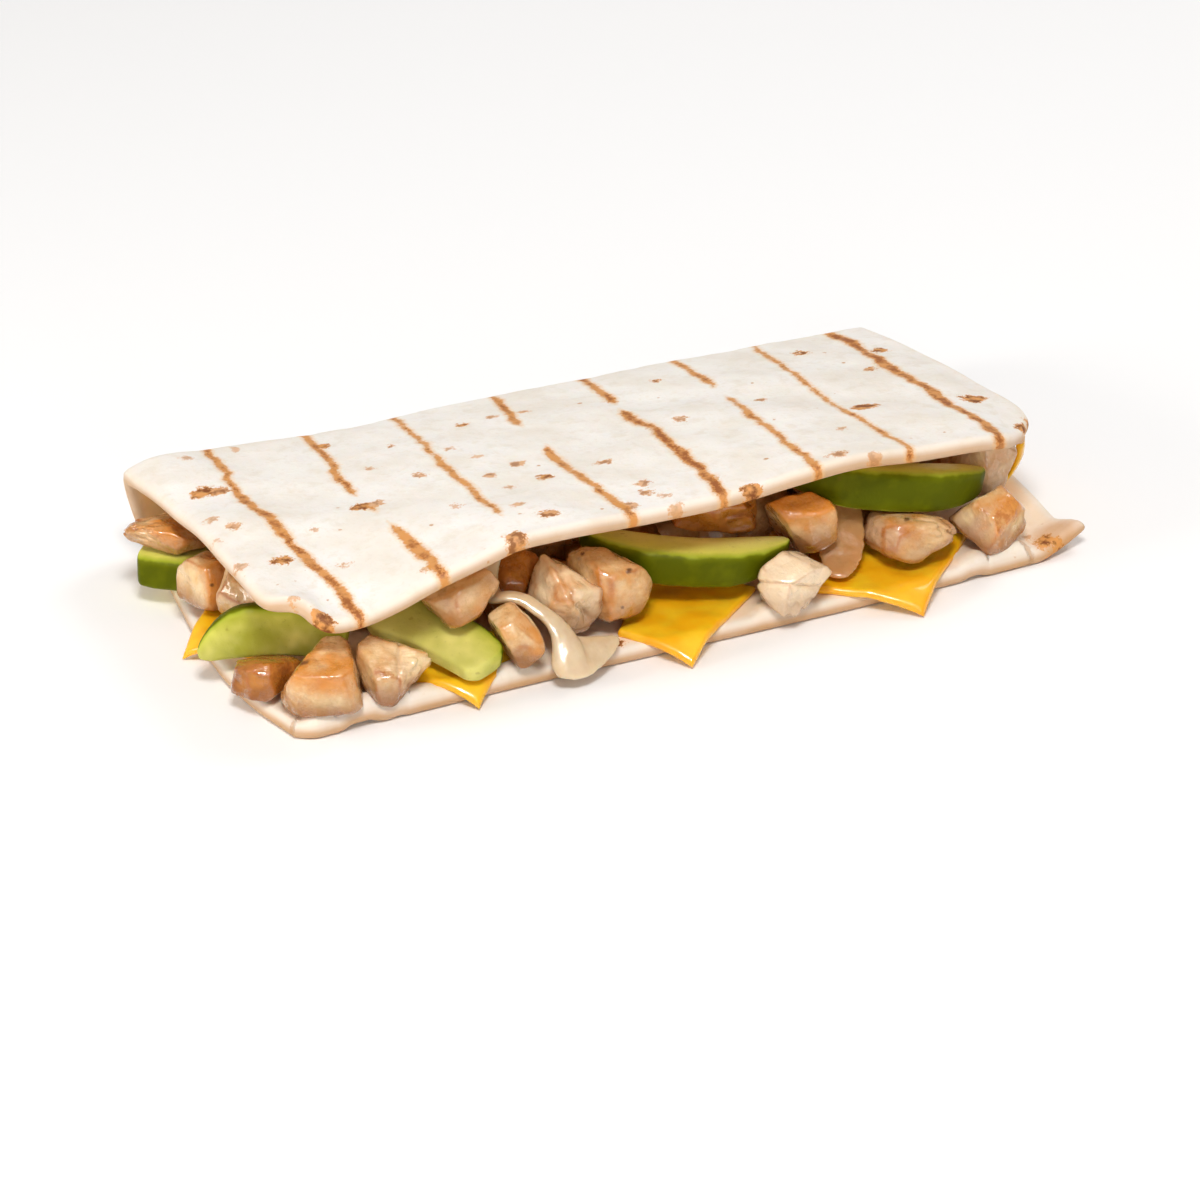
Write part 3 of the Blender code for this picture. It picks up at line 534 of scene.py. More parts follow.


# ---------- chicken

# Directions on a dice are given as right, up and near, for someone who looks from the front left and above.
# cuts are knife cuts: a direction and how far it lies from the middle of the dice, in millimetres. The one
# named crust is the grilled face. char holds dark strokes, as right and up of both ends and a half width.
# clefts are grooves across a direction: how far from the middle, how wide and how deep.
# tan darkens a whole piece towards brown: browning, and painted shade on the pieces that lie in shadow (those at tan
# 1.0, and the hidden heap)
chickenLooks = {
    "chicken_front_1": {
        "cuts": ((-0.8, 0.6, 0, 6.4), (-1, 0, 0.2, 10.2), (0.966, 0.259, 0, 7.4), (0, -1, 0.1, 8.6),
                 (-0.1, -0.25, 0.96, 8.2), (0, 0.6, 0.8, 9.5), (0.8, -0.1, 0.6, 9.1)),
        "crust": 5, "brown": 0.5, "tan": 0.15, "grain": (1, -0.3, 0), "seed": 3, "gold": 0.9,
        "char": ((-7.6, 4.3, -3.3, 4.6, 0.55),), "size": 1.08,
    },
    "chicken_front_2": {
        "cuts": ((-1, 0, 0.1, 9), (-0.55, -0.83, 0, 8.9), (0, -1, 0, 8.9), (0.753, -0.658, 0, 6.1),
                 (0.32, 0.95, 0, 5), (0, 0.4, 0.92, 6.4), (0.05, -0.55, 0.83, 8), (-0.8, 0.1, 0.6, 9.1)),
        "crust": 5, "brown": 0.8, "tan": 0.1, "grain": (1, 0, 0), "seed": 8, "gold": 0.35,
        "torn": (1.0, -0.25, 0.3, 0.08), "clefts": ((1, 0, 0, 1.6, 0.5, 0.5),), "mauve": 0.35,
    },
    "chicken_front_3": {
        "cuts": ((-0.964, -0.265, 0, 8.5), (0.355, -0.935, 0, 6.7), (0.848, -0.53, 0, 6.4),
                 (-0.25, -0.3, 0.92, 7.1), (0.75, -0.1, 0.65, 7.6), (0, 0.7, 0.7, 6.6)),
        "crust": 1, "brown": 0.55, "tan": 0.3, "grain": (0.9, 0.3, 0), "seed": 5, "gold": 0.4, "mauve": 0.4,
    },
    "chicken_front_4": {
        "cuts": ((0.758, 0.652, 0, 4.9), (0.75, -0.66, 0, 8), (-0.62, -0.78, 0, 5.9), (-1, 0, 0, 7.5),
                 (-0.35, -0.1, 0.93, 7.9), (0.6, 0.35, 0.72, 6.2)),
        "crust": 5, "brown": 0.25, "tan": 0.05, "grain": (0.6, -0.8, 0), "seed": 12, "gold": 0.65, "soft": 10, "even": 0.3,
    },
    "chicken_front_5": {
        "cuts": ((-0.696, -0.718, 0, 6.3), (-0.93, 0.36, 0, 8.2), (0.54, 0.84, 0, 5.1), (0.98, -0.1, 0.1, 8.4),
                 (0.72, -0.69, 0, 9.2), (-0.3, 0.2, 0.93, 9.4), (0.55, -0.45, 0.7, 9.5)),
        "crust": 5, "brown": 0.4, "tan": 0.05, "grain": (0.5, -0.85, 0), "seed": 21, "gold": 0.5,
        "clefts": ((0.878, 0.478, 0, 1.8, 0.9, 1.5),), "size": 1.1, "pale": 0.4,
    },
    "chicken_front_6": {
        "cuts": ((0.36, 0.93, 0, 7.4), (0.93, -0.36, 0, 7.9), (0.55, -0.83, 0, 9.1), (0, -1, 0, 8.9),
                 (-0.2, -0.3, 0.93, 8.4), (0.2, 0.75, 0.62, 6.5), (0.8, 0, 0.6, 8)),
        "crust": 4, "brown": 0.15, "tan": 0.15, "grain": (1, 0.2, 0), "seed": 30, "gold": 0.5,
        "char": ((3.4, 1.4, 3.7, 1.8, 0.3), (2.1, -5.3, 2.3, -5.2, 0.2), (-5.2, 4.9, -5, 4.9, 0.2)), "size": 1.24,
    },
    "chicken_front_7": {
        "cuts": ((0, 0.8, 0.6, 6.3), (0, -0.6, 0.8, 6.6), (0.97, 0, 0.2, 8.6)),
        "crust": 0, "brown": 0.6, "tan": 1.0, "grain": (1, 0, 0), "seed": 14, "gold": 0.5,
        "torn": (1.0, 0.0, 0.2, 0.12),
    },
    "chicken_front_8": {
        "cuts": ((1, 0, 0, 7.8), (-0.19, -0.98, 0, 7.6), (-0.3, 0.95, 0, 4.6), (0, -0.2, 0.98, 7.2),
                 (0.05, 0.6, 0.8, 6.4), (-0.9, 0, 0.4, 8.6)),
        "crust": 4, "brown": 0.3, "tan": 0.45, "grain": (1, 0.3, 0), "seed": 6, "gold": 1.0, "even": 0.5, "size": 1.2,
    },
    "chicken_front_9": {
        "cuts": ((-0.6, 0.8, 0, 6.7), (0.54, 0.84, 0, 6.5), (0.722, -0.69, 0, 5.8), (-0.82, -0.57, 0, 8.2),
                 (-0.05, 0.55, 0.83, 5.5), (-0.35, -0.45, 0.82, 7.2), (0.55, -0.5, 0.67, 5.2)),
        "crust": 4, "brown": 0.0, "tan": 0.0, "grain": (0.7, -0.7, 0), "seed": 17, "gold": 0.0,
        "clefts": ((0.1, 1, 0, -1.2, 0.5, 0.9),), "torn": (0.4, -0.8, 0.4, 0.08), "pale": 0.7, "mauve": 0.25, "even": 0.2,
    },
    "chicken_front_10": {
        "cuts": ((-0.97, -0.2, 0.1, 11), (-0.7, -0.71, 0, 8.3), (0, -1, 0, 7.4), (0.59, -0.81, 0, 7.2),
                 (0.147, 0.989, 0, 4.1), (-0.45, -0.1, 0.88, 9.6), (0.35, -0.1, 0.93, 8.3), (0, 0.6, 0.8, 8.4)),
        "crust": 7, "brown": 0.3, "tan": 0.25, "grain": (1, -0.15, 0), "seed": 11, "gold": 0.6, "soft": 12,
        "torn": (1.0, 0.25, 0.25, 0.14), "char": ((-0.6, 2.4, -0.2, 2.4, 0.4),), "mauve": 0.7, "even": 0.6, "size": 1.08,
    },
    "chicken_front_11": {
        "cuts": ((-0.705, -0.71, 0, 6.5), (-0.49, 0.87, 0, 6.3), (0.72, 0.69, 0, 7.6), (0.745, -0.667, 0, 8),
                 (-0.6, -0.2, 0.77, 6), (0.5, 0.1, 0.86, 7.9), (0.1, 0.75, 0.65, 8.2)),
        "crust": 5, "brown": 0.6, "tan": 0.1, "grain": (0.4, -0.9, 0), "seed": 9, "gold": 0.7, "mauve": 0.8, "even": 0.6, "size": 1.08,
    },
    "chicken_front_12": {
        "cuts": ((0.4, -0.2, 0.9, 6.7), (-0.4, -0.5, 0.8, 7.4), (0.9, -0.4, 0, 6.5)),
        "crust": 0, "brown": 0.2, "tan": 0.1, "grain": (0.3, -1, 0), "seed": 25, "gold": 0.3, "pale": 0.6, "mauve": 0.0, "size": 1.0,
    },
    "chicken_front_13": {
        "cuts": ((0.2, -0.3, 0.93, 6.4),), "crust": 0, "brown": 0.5, "tan": 1.0, "grain": (0, 1, 0), "seed": 29,
        "gold": 0.1, "mauve": 0.0,
    },
    "chicken_left_1": {
        "cuts": ((0.1, 0.75, 0.66, 5.6), (-0.1, -0.5, 0.86, 6.7), (-0.9, 0.3, 0.2, 9.8)),
        "crust": 0, "brown": 0.8, "tan": 0.5, "grain": (1, -0.2, 0), "seed": 31, "gold": 1.0,
        "torn": (-1.0, 0.2, 0.2, 0.16),
    },
    "chicken_left_2": {
        "cuts": ((-1, 0, 0, 9.1), (-0.45, 0.89, 0, 6.2), (-0.51, -0.86, 0, 7.9), (0, -1, 0, 7.6),
                 (-0.5, 0, 0.86, 8.6), (0.5, -0.1, 0.86, 7.3)),
        "crust": 5, "brown": 0.35, "tan": 0.1, "grain": (0.3, 1, 0), "seed": 4, "gold": 0.55,
        "char": ((0.2, -1.9, 0.4, -1.8, 0.35),), "even": 0.6,
    },
    "chicken_left_3": {
        "cuts": ((-0.5, 0, 0.86, 7.6), (-0.9, 0.3, 0.2, 7.8), (0.2, 0.6, 0.77, 7.2)),
        "crust": 2, "brown": 0.2, "tan": 0.12, "grain": (0.2, 1, 0), "seed": 19, "gold": 0.1,
    },
    "chicken_left_4": {
        "cuts": ((-0.97, 0.23, 0, 7), (0, -1, 0, 6.7), (-0.2, -0.5, 0.84, 7.4), (0, 0.5, 0.86, 6.7)),
        "crust": 3, "brown": 0.55, "tan": 1.0, "grain": (1, 0, 0), "seed": 2, "gold": 0.2,
    },
    "chicken_right_1": {
        "cuts": ((0.5, 0.2, 0.84, 6.6), (-0.5, -0.2, 0.84, 7.6)), "crust": 0, "brown": 0.45, "tan": 0.35,
        "grain": (0, 1, 0), "seed": 27, "gold": 0.4,
    },
    "chicken_right_2": {
        "cuts": ((0.95, 0.1, -0.1, 5.2),), "crust": 0, "brown": 0.5, "tan": 0.3, "grain": (0, 1, 0), "seed": 33,
        "gold": 0.5,
    },
    "chicken_right_3": {
        "cuts": ((0.9, 0.3, -0.2, 6),), "crust": 0, "brown": 0.6, "tan": 0.4, "grain": (1, 0, 0), "seed": 35,
        "gold": 0.5,
    },
}
chickenCut = {
    "detail": 38,  # cuts along each edge of the cube that a dice starts from
    "size": 1.05,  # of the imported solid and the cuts, to fill the gap that it keeps
    "sharpness": 27.0,
    "nicks": 6,  # shallow cuts in random directions
    "nickDepth": (0.85, 0.97),
    "lump": 0.55,
    "dent": 0.16,
    "fibre": 0.04,
}


def seenBasis():  # right, up and near of someone who looks from the camera's side, as rows
    yaw, pitch = math.radians(view["yaw"]), math.radians(view["pitch"])
    right = (math.cos(yaw), -math.sin(yaw), 0)
    up = (math.sin(yaw) * math.sin(pitch), math.cos(yaw) * math.sin(pitch), math.cos(pitch))
    return np.array([right, up, np.cross(right, up)])


def cubeGrid(cuts):  # directions and faces of a finely divided cube, evened out over the ball
    body = bmesh.new()
    bmesh.ops.create_cube(body, size=2.0)
    bmesh.ops.subdivide_edges(body, edges=body.edges[:], cuts=cuts, use_grid_fill=True)
    body.verts.ensure_lookup_table()
    corners = np.array([v.co for v in body.verts])
    faces = np.array([[v.index for v in face.verts] for face in body.faces])
    body.free()
    return unit(np.tan(corners * 0.78)), faces


def diceShape(directions, planes, distances, look, cut):
    # A dice is a star of reaches from its middle. Along a direction its surface lies where the p-norm of
    # the direction's share of every face's distance is one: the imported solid's faces and the knife cuts.
    chance = np.random.default_rng(look["seed"])
    seen = seenBasis()
    size = look.get("size", cut["size"])
    hull = size / np.maximum(directions @ planes.T / distances, 1e-6).max(1)
    shares = [1 / hull]
    for *way, distance in look["cuts"]:
        shares.append(np.maximum(directions @ (unit(way) @ seen), 0) / (distance * size))
    for way in unit(chance.normal(size=(cut["nicks"], 3))):
        support = (directions @ way * hull).max() * chance.uniform(*cut["nickDepth"])
        shares.append(np.maximum(directions @ way, 0) / support)
    shares = np.array(shares)
    sharpness = look.get("soft", cut["sharpness"])
    total = (shares**sharpness).sum(0) ** (1 / sharpness)
    twoHighest = np.sort(shares, axis=0)[-2:]
    nearEdge = twoHighest[0] / twoHighest[1]  # one where two cuts meet
    crustWay = unit(look["cuts"][look["crust"]][:3]) @ seen
    onCrust = smooth(0.84, 0.99, shares[1 + look["crust"]] / total)
    reach = 1 / total
    points = directions * reach[:, None]
    along = unit(look["grain"]) @ seen
    beside = unit(np.cross(along, crustWay))
    grain = points @ np.stack([along, beside, np.cross(along, beside)], -1)
    stretched = grain / np.array([6.0, 1.0, 1.0])
    seed = look["seed"]
    even = look.get("even", 1.0)
    reach = reach + cut["lump"] * layers(points, 6.0, seed, 2) + even * cut["dent"] * layers(points, 2.2, seed + 3, 2)
    reach = reach - even * cut["fibre"] * (1 - np.abs(layers(stretched, 0.9, seed + 5, 2)))
    for *way, offset, width, depth in look.get("clefts", ()):
        away = points @ (unit(way) @ seen) - offset + 0.5 * noise(points, 4.0, seed + 7)
        reach = reach - depth * np.exp(-((away / width) ** 2)) * smooth(-0.2, 0.4, directions @ seen[2])
    if "torn" in look:
        *way, pull = look["torn"]
        frayed = smooth(0.45, 0.95, directions @ (unit(way) @ seen))
        strands = smooth(-0.25, 0.25, noise(grain / np.array([30.0, 1.2, 1.2]), 1.0, seed + 9))
        reach = reach * (1 + frayed * pull * (strands - 0.25))
    char = np.zeros(len(points))
    place = points @ seen.T / size
    for startR, startU, endR, endU, half in look.get("char", ()):
        start, run = np.array([startR, startU]), np.array([endR - startR, endU - startU])
        t = np.clip((place[:, :2] - start) @ run / (run @ run), 0, 1)
        away = np.linalg.norm(place[:, :2] - start - t[:, None] * run, axis=1)
        away = away + 0.25 * noise(points, 1.2, seed + 11)
        char = np.maximum(char, smooth(half * 1.5, half * 0.6, away) * (place[:, 2] > 0))
    towards = smooth(-0.3, 1.0, directions @ crustWay)
    marks = {
        "sear": onCrust * look["brown"], "gold": look["gold"] * (0.7 * towards + 0.35 * onCrust),
        "tan": np.full(len(points), look["tan"]), "char": char, "grain": grain,
        "pale": np.full(len(points), look.get("pale", 0.0)), "mauve": np.full(len(points), look.get("mauve", 0.2)),
        # under: one on faces that point down, for painted shade
        "edge": smooth(0.93, 1.0, nearEdge), "outer": smooth(0.7, 1.0, nearEdge), "under": smooth(0.2, -0.65, directions[:, 2]),
    }
    return directions * reach[:, None], marks


def makeChicken(material):
    directions, faces = cubeGrid(chickenCut["detail"])
    for node, look in chickenLooks.items():
        corners, triangles = nodeCorners(node)
        middle = (corners.min(0) + corners.max(0)) / 2
        a, b, c = (corners[triangles[:, k]] - middle for k in range(3))
        planes = np.cross(b - a, c - a)
        planes = unit(planes[np.linalg.norm(planes, axis=1) > 1e-6])
        distances = ((corners - middle) @ planes.T).max(0)
        half = (corners.max(0) - corners.min(0)) / 2
        points, marks = diceShape(unit(directions * half), planes, distances, look, chickenCut)
        name = "diced" + "".join(part.capitalize() for part in node.split("_"))
        newPiece(name, points + middle, [faces], material, [node], marks)


def chickenFinish():
    finish = Finish(
        "cookedChicken", Subsurface_Weight=0.22, Subsurface_Scale=0.002, Subsurface_Radius=(1.0, 0.62, 0.3),
        Coat_Roughness=0.06, Coat_IOR=1.5, Specular_IOR_Level=0.4,
    )
    where = finish.place()
    grain = finish.mark("grain", 1)
    fibres = finish.speckle(grain, 1000, 3, 0.6, (0.16, 1.2, 1.2))
    broad = finish.speckle(where, 6, 3)
    patches = finish.speckle(where, 7.0, 2)
    fine = finish.speckle(where, 1.1, 3, 0.65)
    pale = finish.blend(broad.between(0.35, 0.65), tone(247, 222, 174), tone(232, 195, 138))
    pale = finish.blend(finish.mark("outer") * (fine * 1.1), pale, tone(200, 134, 58))
    pale = finish.blend(finish.mark("mauve") * patches.between(0.4, 0.65), pale, tone(206, 172, 144))
    pale = finish.blend(finish.mark("pale"), pale, tone(246, 226, 196))
    # tan: browning, and painted shade that darkens whole pieces lying in shadow
    tannedAndShaded = finish.blend(broad.between(0.35, 0.65), tone(190, 122, 46), tone(150, 86, 22))
    colour = finish.blend(finish.mark("tan"), pale, tannedAndShaded)
    colour = finish.blend(fibres.between(0.5, 0.75) * 0.16 * (1 - finish.mark("pale")), colour, tone(176, 120, 62))
    notPale = 1 - finish.mark("pale") * 0.75
    brownEdge = finish.mark("edge") * patches.between(0.42, 0.62)
    colour = finish.blend(brownEdge * notPale * 0.85, colour, tone(172, 96, 24))
    # painted shade: faces that point down go dark brown
    colour = finish.blend(finish.mark("under") * notPale * 0.85, colour, tone(142, 84, 28))
    gold = (finish.mark("gold") + (broad - 0.5) * 1.1).between(0.2, 0.75) * finish.mark("gold").between(0.0, 0.3)
    colour = finish.blend(gold * 0.85, colour, tone(214, 134, 38))
    sear = finish.mark("sear") + (finish.speckle(where, 3.0, 4, 0.75) - 0.5) * 1.5
    allowed = finish.mark("sear").between(0.03, 0.3)
    colour = finish.blend(sear.between(0.45, 0.75) * allowed * 0.75, colour, tone(182, 104, 36))
    colour = finish.blend((sear + (fine - 0.5) * 0.8).between(0.85, 1.1) * allowed, colour, tone(96, 50, 18))
    colour = finish.blend(finish.mark("char") * 0.85, colour, tone(84, 42, 16))
    wet = finish.speckle(where, 3.6, 3).between(0.43, 0.52)
    height = fibres * 0.6 + fine * 0.4 + finish.speckle(where, 2.4, 2) * 1.1
    finish.link(
        Base_Color=colour,
        Roughness=0.5 - wet * 0.28 + fine * 0.1,
        Coat_Weight=(wet * 0.9 + finish.mark("edge") * 0.4 + gold * 0.3).lowest(1.0),
        Normal=finish.relief(height, 0.3),
    )
    return finish.material


# ---------- avocado

# For each slice: its direction, the way a cut side faces, length, bend in degrees, width, thickness at the
# skin and at the stone, share of the width left at each end
avocadoLooks = {
    "avocado_front_1": ((0.89, -0.45, 0.03), (-0.42, -0.85, 0.3), 37, 28, 12.4, 8, 5, (0.05, 0.7)),
    "avocado_front_2": ((0.55, -0.81, -0.18), (-0.08, -0.26, 0.95), 34, 24, 14, 7, 5, (0.5, 0.8)),
    "avocado_front_3": ((-0.93, 0.34, 0.12), (0.03, -0.14, 0.98), 55, 50, 13, 11.0, 4.5, (0.0, 0.2)),
    "avocado_front_4": ((-0.96, 0.16, 0.2), (0.2, 0.0, 0.98), 54, 40, 13.5, 12.2, 6, (0.4, 0.3)),
    "avocado_left_1": ((-0.8, 0.6, 0.0), (0.0, 0.0, 1.0), 20, 10, 12, 9.4, 8.6, (0.85, 0.9)),
    "avocado_right_1": ((-0.08, -0.99, 0.05), (0.45, 0.0, 0.9), 30, 36, 12, 7.5, 4, (0.3, 0.4)),
}
avocadoCut = {
    "stations": 130, "ring": 72, "edge": 5.0, "wave": 0.16,
    "unripe": {"avocado_front_1": 0.9, "avocado_front_2": 0.6, "avocado_right_1": 0.0},  # how green the flesh is
}


def makeAvocado(material):
    # a wedge section with rounded corners, carried along an arc, narrower and thinner towards its ends
    stations, ring = avocadoCut["stations"], avocadoCut["ring"]
    angle = np.arange(ring) / ring * 2 * math.pi
    turn = np.cos(angle), np.sin(angle)
    power = 2 / np.where(turn[0] > 0, 3.0, avocadoCut["edge"])
    out = 0.19 + 0.81 * np.sign(turn[0]) * np.abs(turn[0]) ** power
    up = 0.5 * np.sign(turn[1]) * np.abs(turn[1]) ** (2 / avocadoCut["edge"])
    for node, (along, face, length, bend, width, skin, pit, ends) in avocadoLooks.items():
        arc = math.radians(bend)
        radius = length / arc
        cap = np.linspace(0, 1, 10)[:-1]
        t = np.concatenate([0.02 * (1 - np.cos(cap * math.pi / 2)), np.linspace(0.02, 0.98, stations - 18),
                            1 - 0.02 * (1 - np.cos(cap[::-1] * math.pi / 2))])
        closing = np.sqrt(np.clip(1 - (1 - np.clip(np.minimum(t, 1 - t) / 0.02, 0, 1)) ** 2, 0, 1))
        rounding = np.sqrt(1 - (1 - np.clip(np.minimum(t, 1 - t) / 0.1, 0, 1)) ** 2)
        nearStart, nearEnd = np.clip(t / 0.36, 0, 1), np.clip((1 - t) / 0.36, 0, 1)
        swell = (ends[0] + (1 - ends[0]) * np.sin(nearStart * math.pi / 2)) * (
            ends[1] + (1 - ends[1]) * np.sin(nearEnd * math.pi / 2)
        )
        theta = (t - 0.5) * arc
        thickness = pit + (skin - pit) * (out + 0.62) / 1.62
        reach = (out - 0.2)[None] * width / 1.62 * (0.3 + 0.7 * swell)[:, None] * (0.3 + 0.7 * rounding)[:, None]
        reach = radius + reach - (0.3 * width * (1 - swell))[:, None]
        lift = up[None] * thickness[None] * (0.3 + 0.7 * swell)[:, None] * (0.25 + 0.75 * closing)[:, None]
        arcPlace = np.stack([reach * np.sin(theta)[:, None], reach * np.cos(theta)[:, None] - radius, lift], -1)
        forward = unit(along)
        outward = unit(np.cross(face, forward))
        turned = np.array([forward, outward, np.cross(forward, outward)])
        rings = arcPlace @ turned
        points = np.concatenate([rings.reshape(-1, 3), rings[:1].mean(1), rings[-1:].mean(1)])
        middle = points.mean(0)
        points = points + (unit(points - middle) * (avocadoCut["wave"] * layers(points, 6, 4))[:, None])
        outHere = 0.19 + (out[None] - 0.19) * closing[:, None]  # a cut end shows flesh inside a rim of skin
        flesh = ((1.0 - outHere) / 1.62).ravel() + 0.02 * layers(rings.reshape(-1, 3), 3, 6)
        flesh = np.concatenate([flesh, [0.5, 0.5]])
        marks = {"flesh": flesh, "unripe": np.full(len(flesh), avocadoCut["unripe"].get(node, 0.2))}
        name = "sliced" + "".join(part.capitalize() for part in node.split("_"))
        newPiece(name, settle(points, node), tubeFaces(stations, ring), material, [node], marks)


def avocadoFinish():
    finish = Finish(
        "ripeAvocado", Subsurface_Weight=0.2, Subsurface_Scale=0.002, Subsurface_Radius=(0.8, 1.0, 0.2),
        Coat_Roughness=0.12, Specular_IOR_Level=0.05,
    )
    where = finish.place()
    broad = finish.speckle(where, 6, 3)
    fine = finish.speckle(where, 0.9, 3, 0.6)
    depth = finish.mark("flesh") + (broad - 0.5) * 0.07
    colour = finish.ramp(
        depth,
        (0.0, tone(86, 92, 3)), (0.045, tone(104, 110, 6)), (0.085, tone(158, 168, 46)),
        (0.2, tone(214, 212, 98)), (0.7, tone(240, 230, 138)),
    )
    unripe = finish.mark("unripe") * (finish.speckle(where, 9, 2) + 0.25).between(0.4, 0.95) * depth.between(0.06, 0.2)
    colour = finish.blend(unripe, colour, tone(150, 152, 40))
    colour = finish.blend(fine.between(0.6, 0.8) * 0.25, colour, tone(90, 84, 16))
    dents = finish.speckle(where, 2.8, 2).between(0.68, 0.78)
    colour = finish.blend(dents * 0.3, colour, tone(120, 96, 30))
    height = broad * 0.4 + fine * 0.25 + finish.speckle(where, 2.2, 3) * 0.35
    finish.link(
        Base_Color=colour,
        Roughness=0.34 + fine * 0.16,
        Coat_Weight=finish.speckle(where, 3, 2).between(0.55, 0.75) * 0.3 * depth.between(0.05, 0.15),
        Normal=finish.relief(height, 0.25),
    )
    return finish.material


# ---------- cheese

# For each slice: corners in plan with the hanging one first, its drop, how far short of it the drop starts
cheddarLooks = {
    "cheddar_front_1": (((-58.5, -51.0), (-37, -33), (-56, -12), (-78, -30)), 4.3, 8.0),
    "cheddar_front_2": (((-5.5, -56.0), (22, -35), (2, -12), (-17.5, -40)), 4.0, 8.8),
    "cheddar_front_3": (((55.0, -58.5), (80, -34), (54, -12), (28, -38)), 4.2, 9.4),
    "cheddar_left_1": (((-111.5, 3.0), (-96, -14), (-80, 3), (-96, 19)), 4.3, 7.0),
    "cheddar_right_1": (((111.5, -0.5), (97.5, 15.5), (82, -0.5), (97, -17)), 1.5, 6.0),
}
cheddarCut = {"cells": 50, "sheet": 2.2, "wave": 0.5}


def makeCheddar(material, drawnShift):
    # a square sheet across its four corners, soft at its rims, with one corner fallen over the edge
    cells, sheet = cheddarCut["cells"], cheddarCut["sheet"]
    share = (1 - np.cos(np.linspace(0, 1, cells) * math.pi)) / 2 * 0.35 + np.linspace(0, 1, cells) * 0.65
    u, v = np.meshgrid(share, share, indexing="ij")
    for node, (corners, hang, fallFrom) in cheddarLooks.items():
        tip, right, back, left = (np.array(corner, float) for corner in corners)
        plan = (
            tip * ((1 - u) * (1 - v))[..., None] + right * (u * (1 - v))[..., None]
            + back * (u * v)[..., None] + left * ((1 - u) * v)[..., None]
        )
        outwards = unit(tip - back)
        over = np.clip(1 - (tip @ outwards - plan @ outwards) / fallFrom, 0, 1)
        wave = cheddarCut["wave"] * layers(np.concatenate([plan, np.zeros_like(u)[..., None]], -1), 9, 2, 2)
        z = wave * smooth(0, 0.3, over + 0.3) - hang * over**1.8
        middle = np.concatenate([plan, z[..., None]], -1)
        size = np.linalg.norm(tip - right)
        fromRim = np.minimum(np.minimum(u, 1 - u), np.minimum(v, 1 - v)) * size
        half = sheet / 2 * np.sqrt(1 - (1 - np.clip(fromRim / (sheet * 0.6), 0, 1)) ** 2)
        lift = np.stack([np.zeros_like(half), np.zeros_like(half), half], -1)
        points = np.concatenate([(middle + lift).reshape(-1, 3), (middle - lift).reshape(-1, 3)])
        marks = {"rim": np.tile(1 - smooth(0, 1.6, fromRim).ravel(), 2)}
        name = "softened" + "".join(part.capitalize() for part in node.split("_"))
        points = points + drawnShift + (0, 0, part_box(node)[1][2] / mm - points[:, 2].max() - drawnShift[2])
        newPiece(name, points, [sheetFaces(cells, cells)], material, [node], marks)


def cheddarFinish():
    finish = Finish(
        "softCheddar", Subsurface_Weight=0.25, Subsurface_Scale=0.003, Subsurface_Radius=(1.0, 0.5, 0.08),
        Coat_Weight=0.7, Coat_Roughness=0.1, Specular_IOR_Level=0.25,
    )
    where = finish.place()
    broad = finish.speckle(where, 9, 2)
    colour = finish.blend(broad.between(0.35, 0.65), tone(255, 202, 34), tone(255, 182, 14))
    colour = finish.blend(finish.mark("rim") * 0.35, colour, tone(246, 150, 4))
    height = broad * 0.8 + finish.speckle(where, 2.5, 2) * 0.2
    finish.link(Base_Color=colour, Roughness=0.3 + broad * 0.1, Normal=finish.relief(height, 0.5))
    return finish.material


# A torn strip of the right slice that leans on the dice beside it: route, widths, thicknesses, width's way
cheddarStrip = (
    ((98.0, -3, 5.3), (99.2, -9, 5.4), (100.4, -14, 7.2), (101.8, -18, 11.5), (102.4, -20.5, 16.0), (102.2, -22, 20.6)),
    (8, 15, 13.5, 11, 8.5, 4.5), (2.0, 2.2, 2.2, 2.2, 2.2, 2.0), (0.6, 0.8, 0.0),
)


# For each flow, ribbons that run into each other: route, widths and thicknesses along it, as drawn
whiteLooks = {
    "white_cheese_1": (
        (((-41, 34, 21), (-42, 14, 24), (-43, -6, 27), (-45, -20, 25), (-46.5, -28, 20), (-45.6, -33, 18.4),
          (-43.4, -35.6, 19.4), (-40.6, -37.6, 18.8), (-38.4, -40.2, 17.3), (-36.0, -42.9, 15.0),
          (-34.7, -45.4, 12.4), (-34.4, -47.7, 9.7), (-35.0, -50.2, 6.6), (-35.4, -52.2, 3.2)),
         (20, 26, 24, 14, 8, 5, 4.4, 4.4, 4.6, 5, 6, 7.4, 8.6, 5.6),
         (2.2, 2.4, 2.4, 2.4, 2.4, 2.6, 2.6, 2.6, 2.6, 2.8, 3.2, 3.6, 3.8, 2.6)),
        (((-35.4, -48.6, 7.4), (-31.6, -48.7, 6.9), (-28, -48.2, 6.8), (-24, -47.2, 7.0), (-20, -46.0, 7.6)),
         (12.5, 11.5, 9, 6, 2.4),
         (3.4, 3.0, 2.4, 2.0, 1.4), (0.1, 0.78, 0.62)),
    ),
    "white_cheese_2": (
        (((40, 34, 20), (42, 14, 23.6), (44, -4, 26.5), (46, -18, 24), (46.6, -27, 19), (45, -34, 13.6),
          (42, -39.5, 9.4), (38.5, -43, 7.6)),
         (20, 26, 24, 19, 14, 12.5, 10, 6),
         (2.2, 2.2, 2.0, 1.8, 1.6, 1.5, 1.5, 1.6)),
        (((50, -22, 20), (49.8, -29, 14.8), (46.6, -35.6, 10.2), (41, -41, 8.0)), (2, 1.8, 1.6, 1.5), (3, 3, 2.8, 2)),
        (((47, -31, 14.0), (45, -36.6, 10.8), (41.6, -42, 7.6)), (1.6, 1.6, 1.5), (2.6, 2.8, 2.2)),
    ),
}
whiteCut = {
    "stations": 120, "ring": 40, "voxel": 0.5, "smoothing": 8, "wave": 0.25,
    "films": ("white_cheese_2",),  # so thin that what lies behind tints it
}


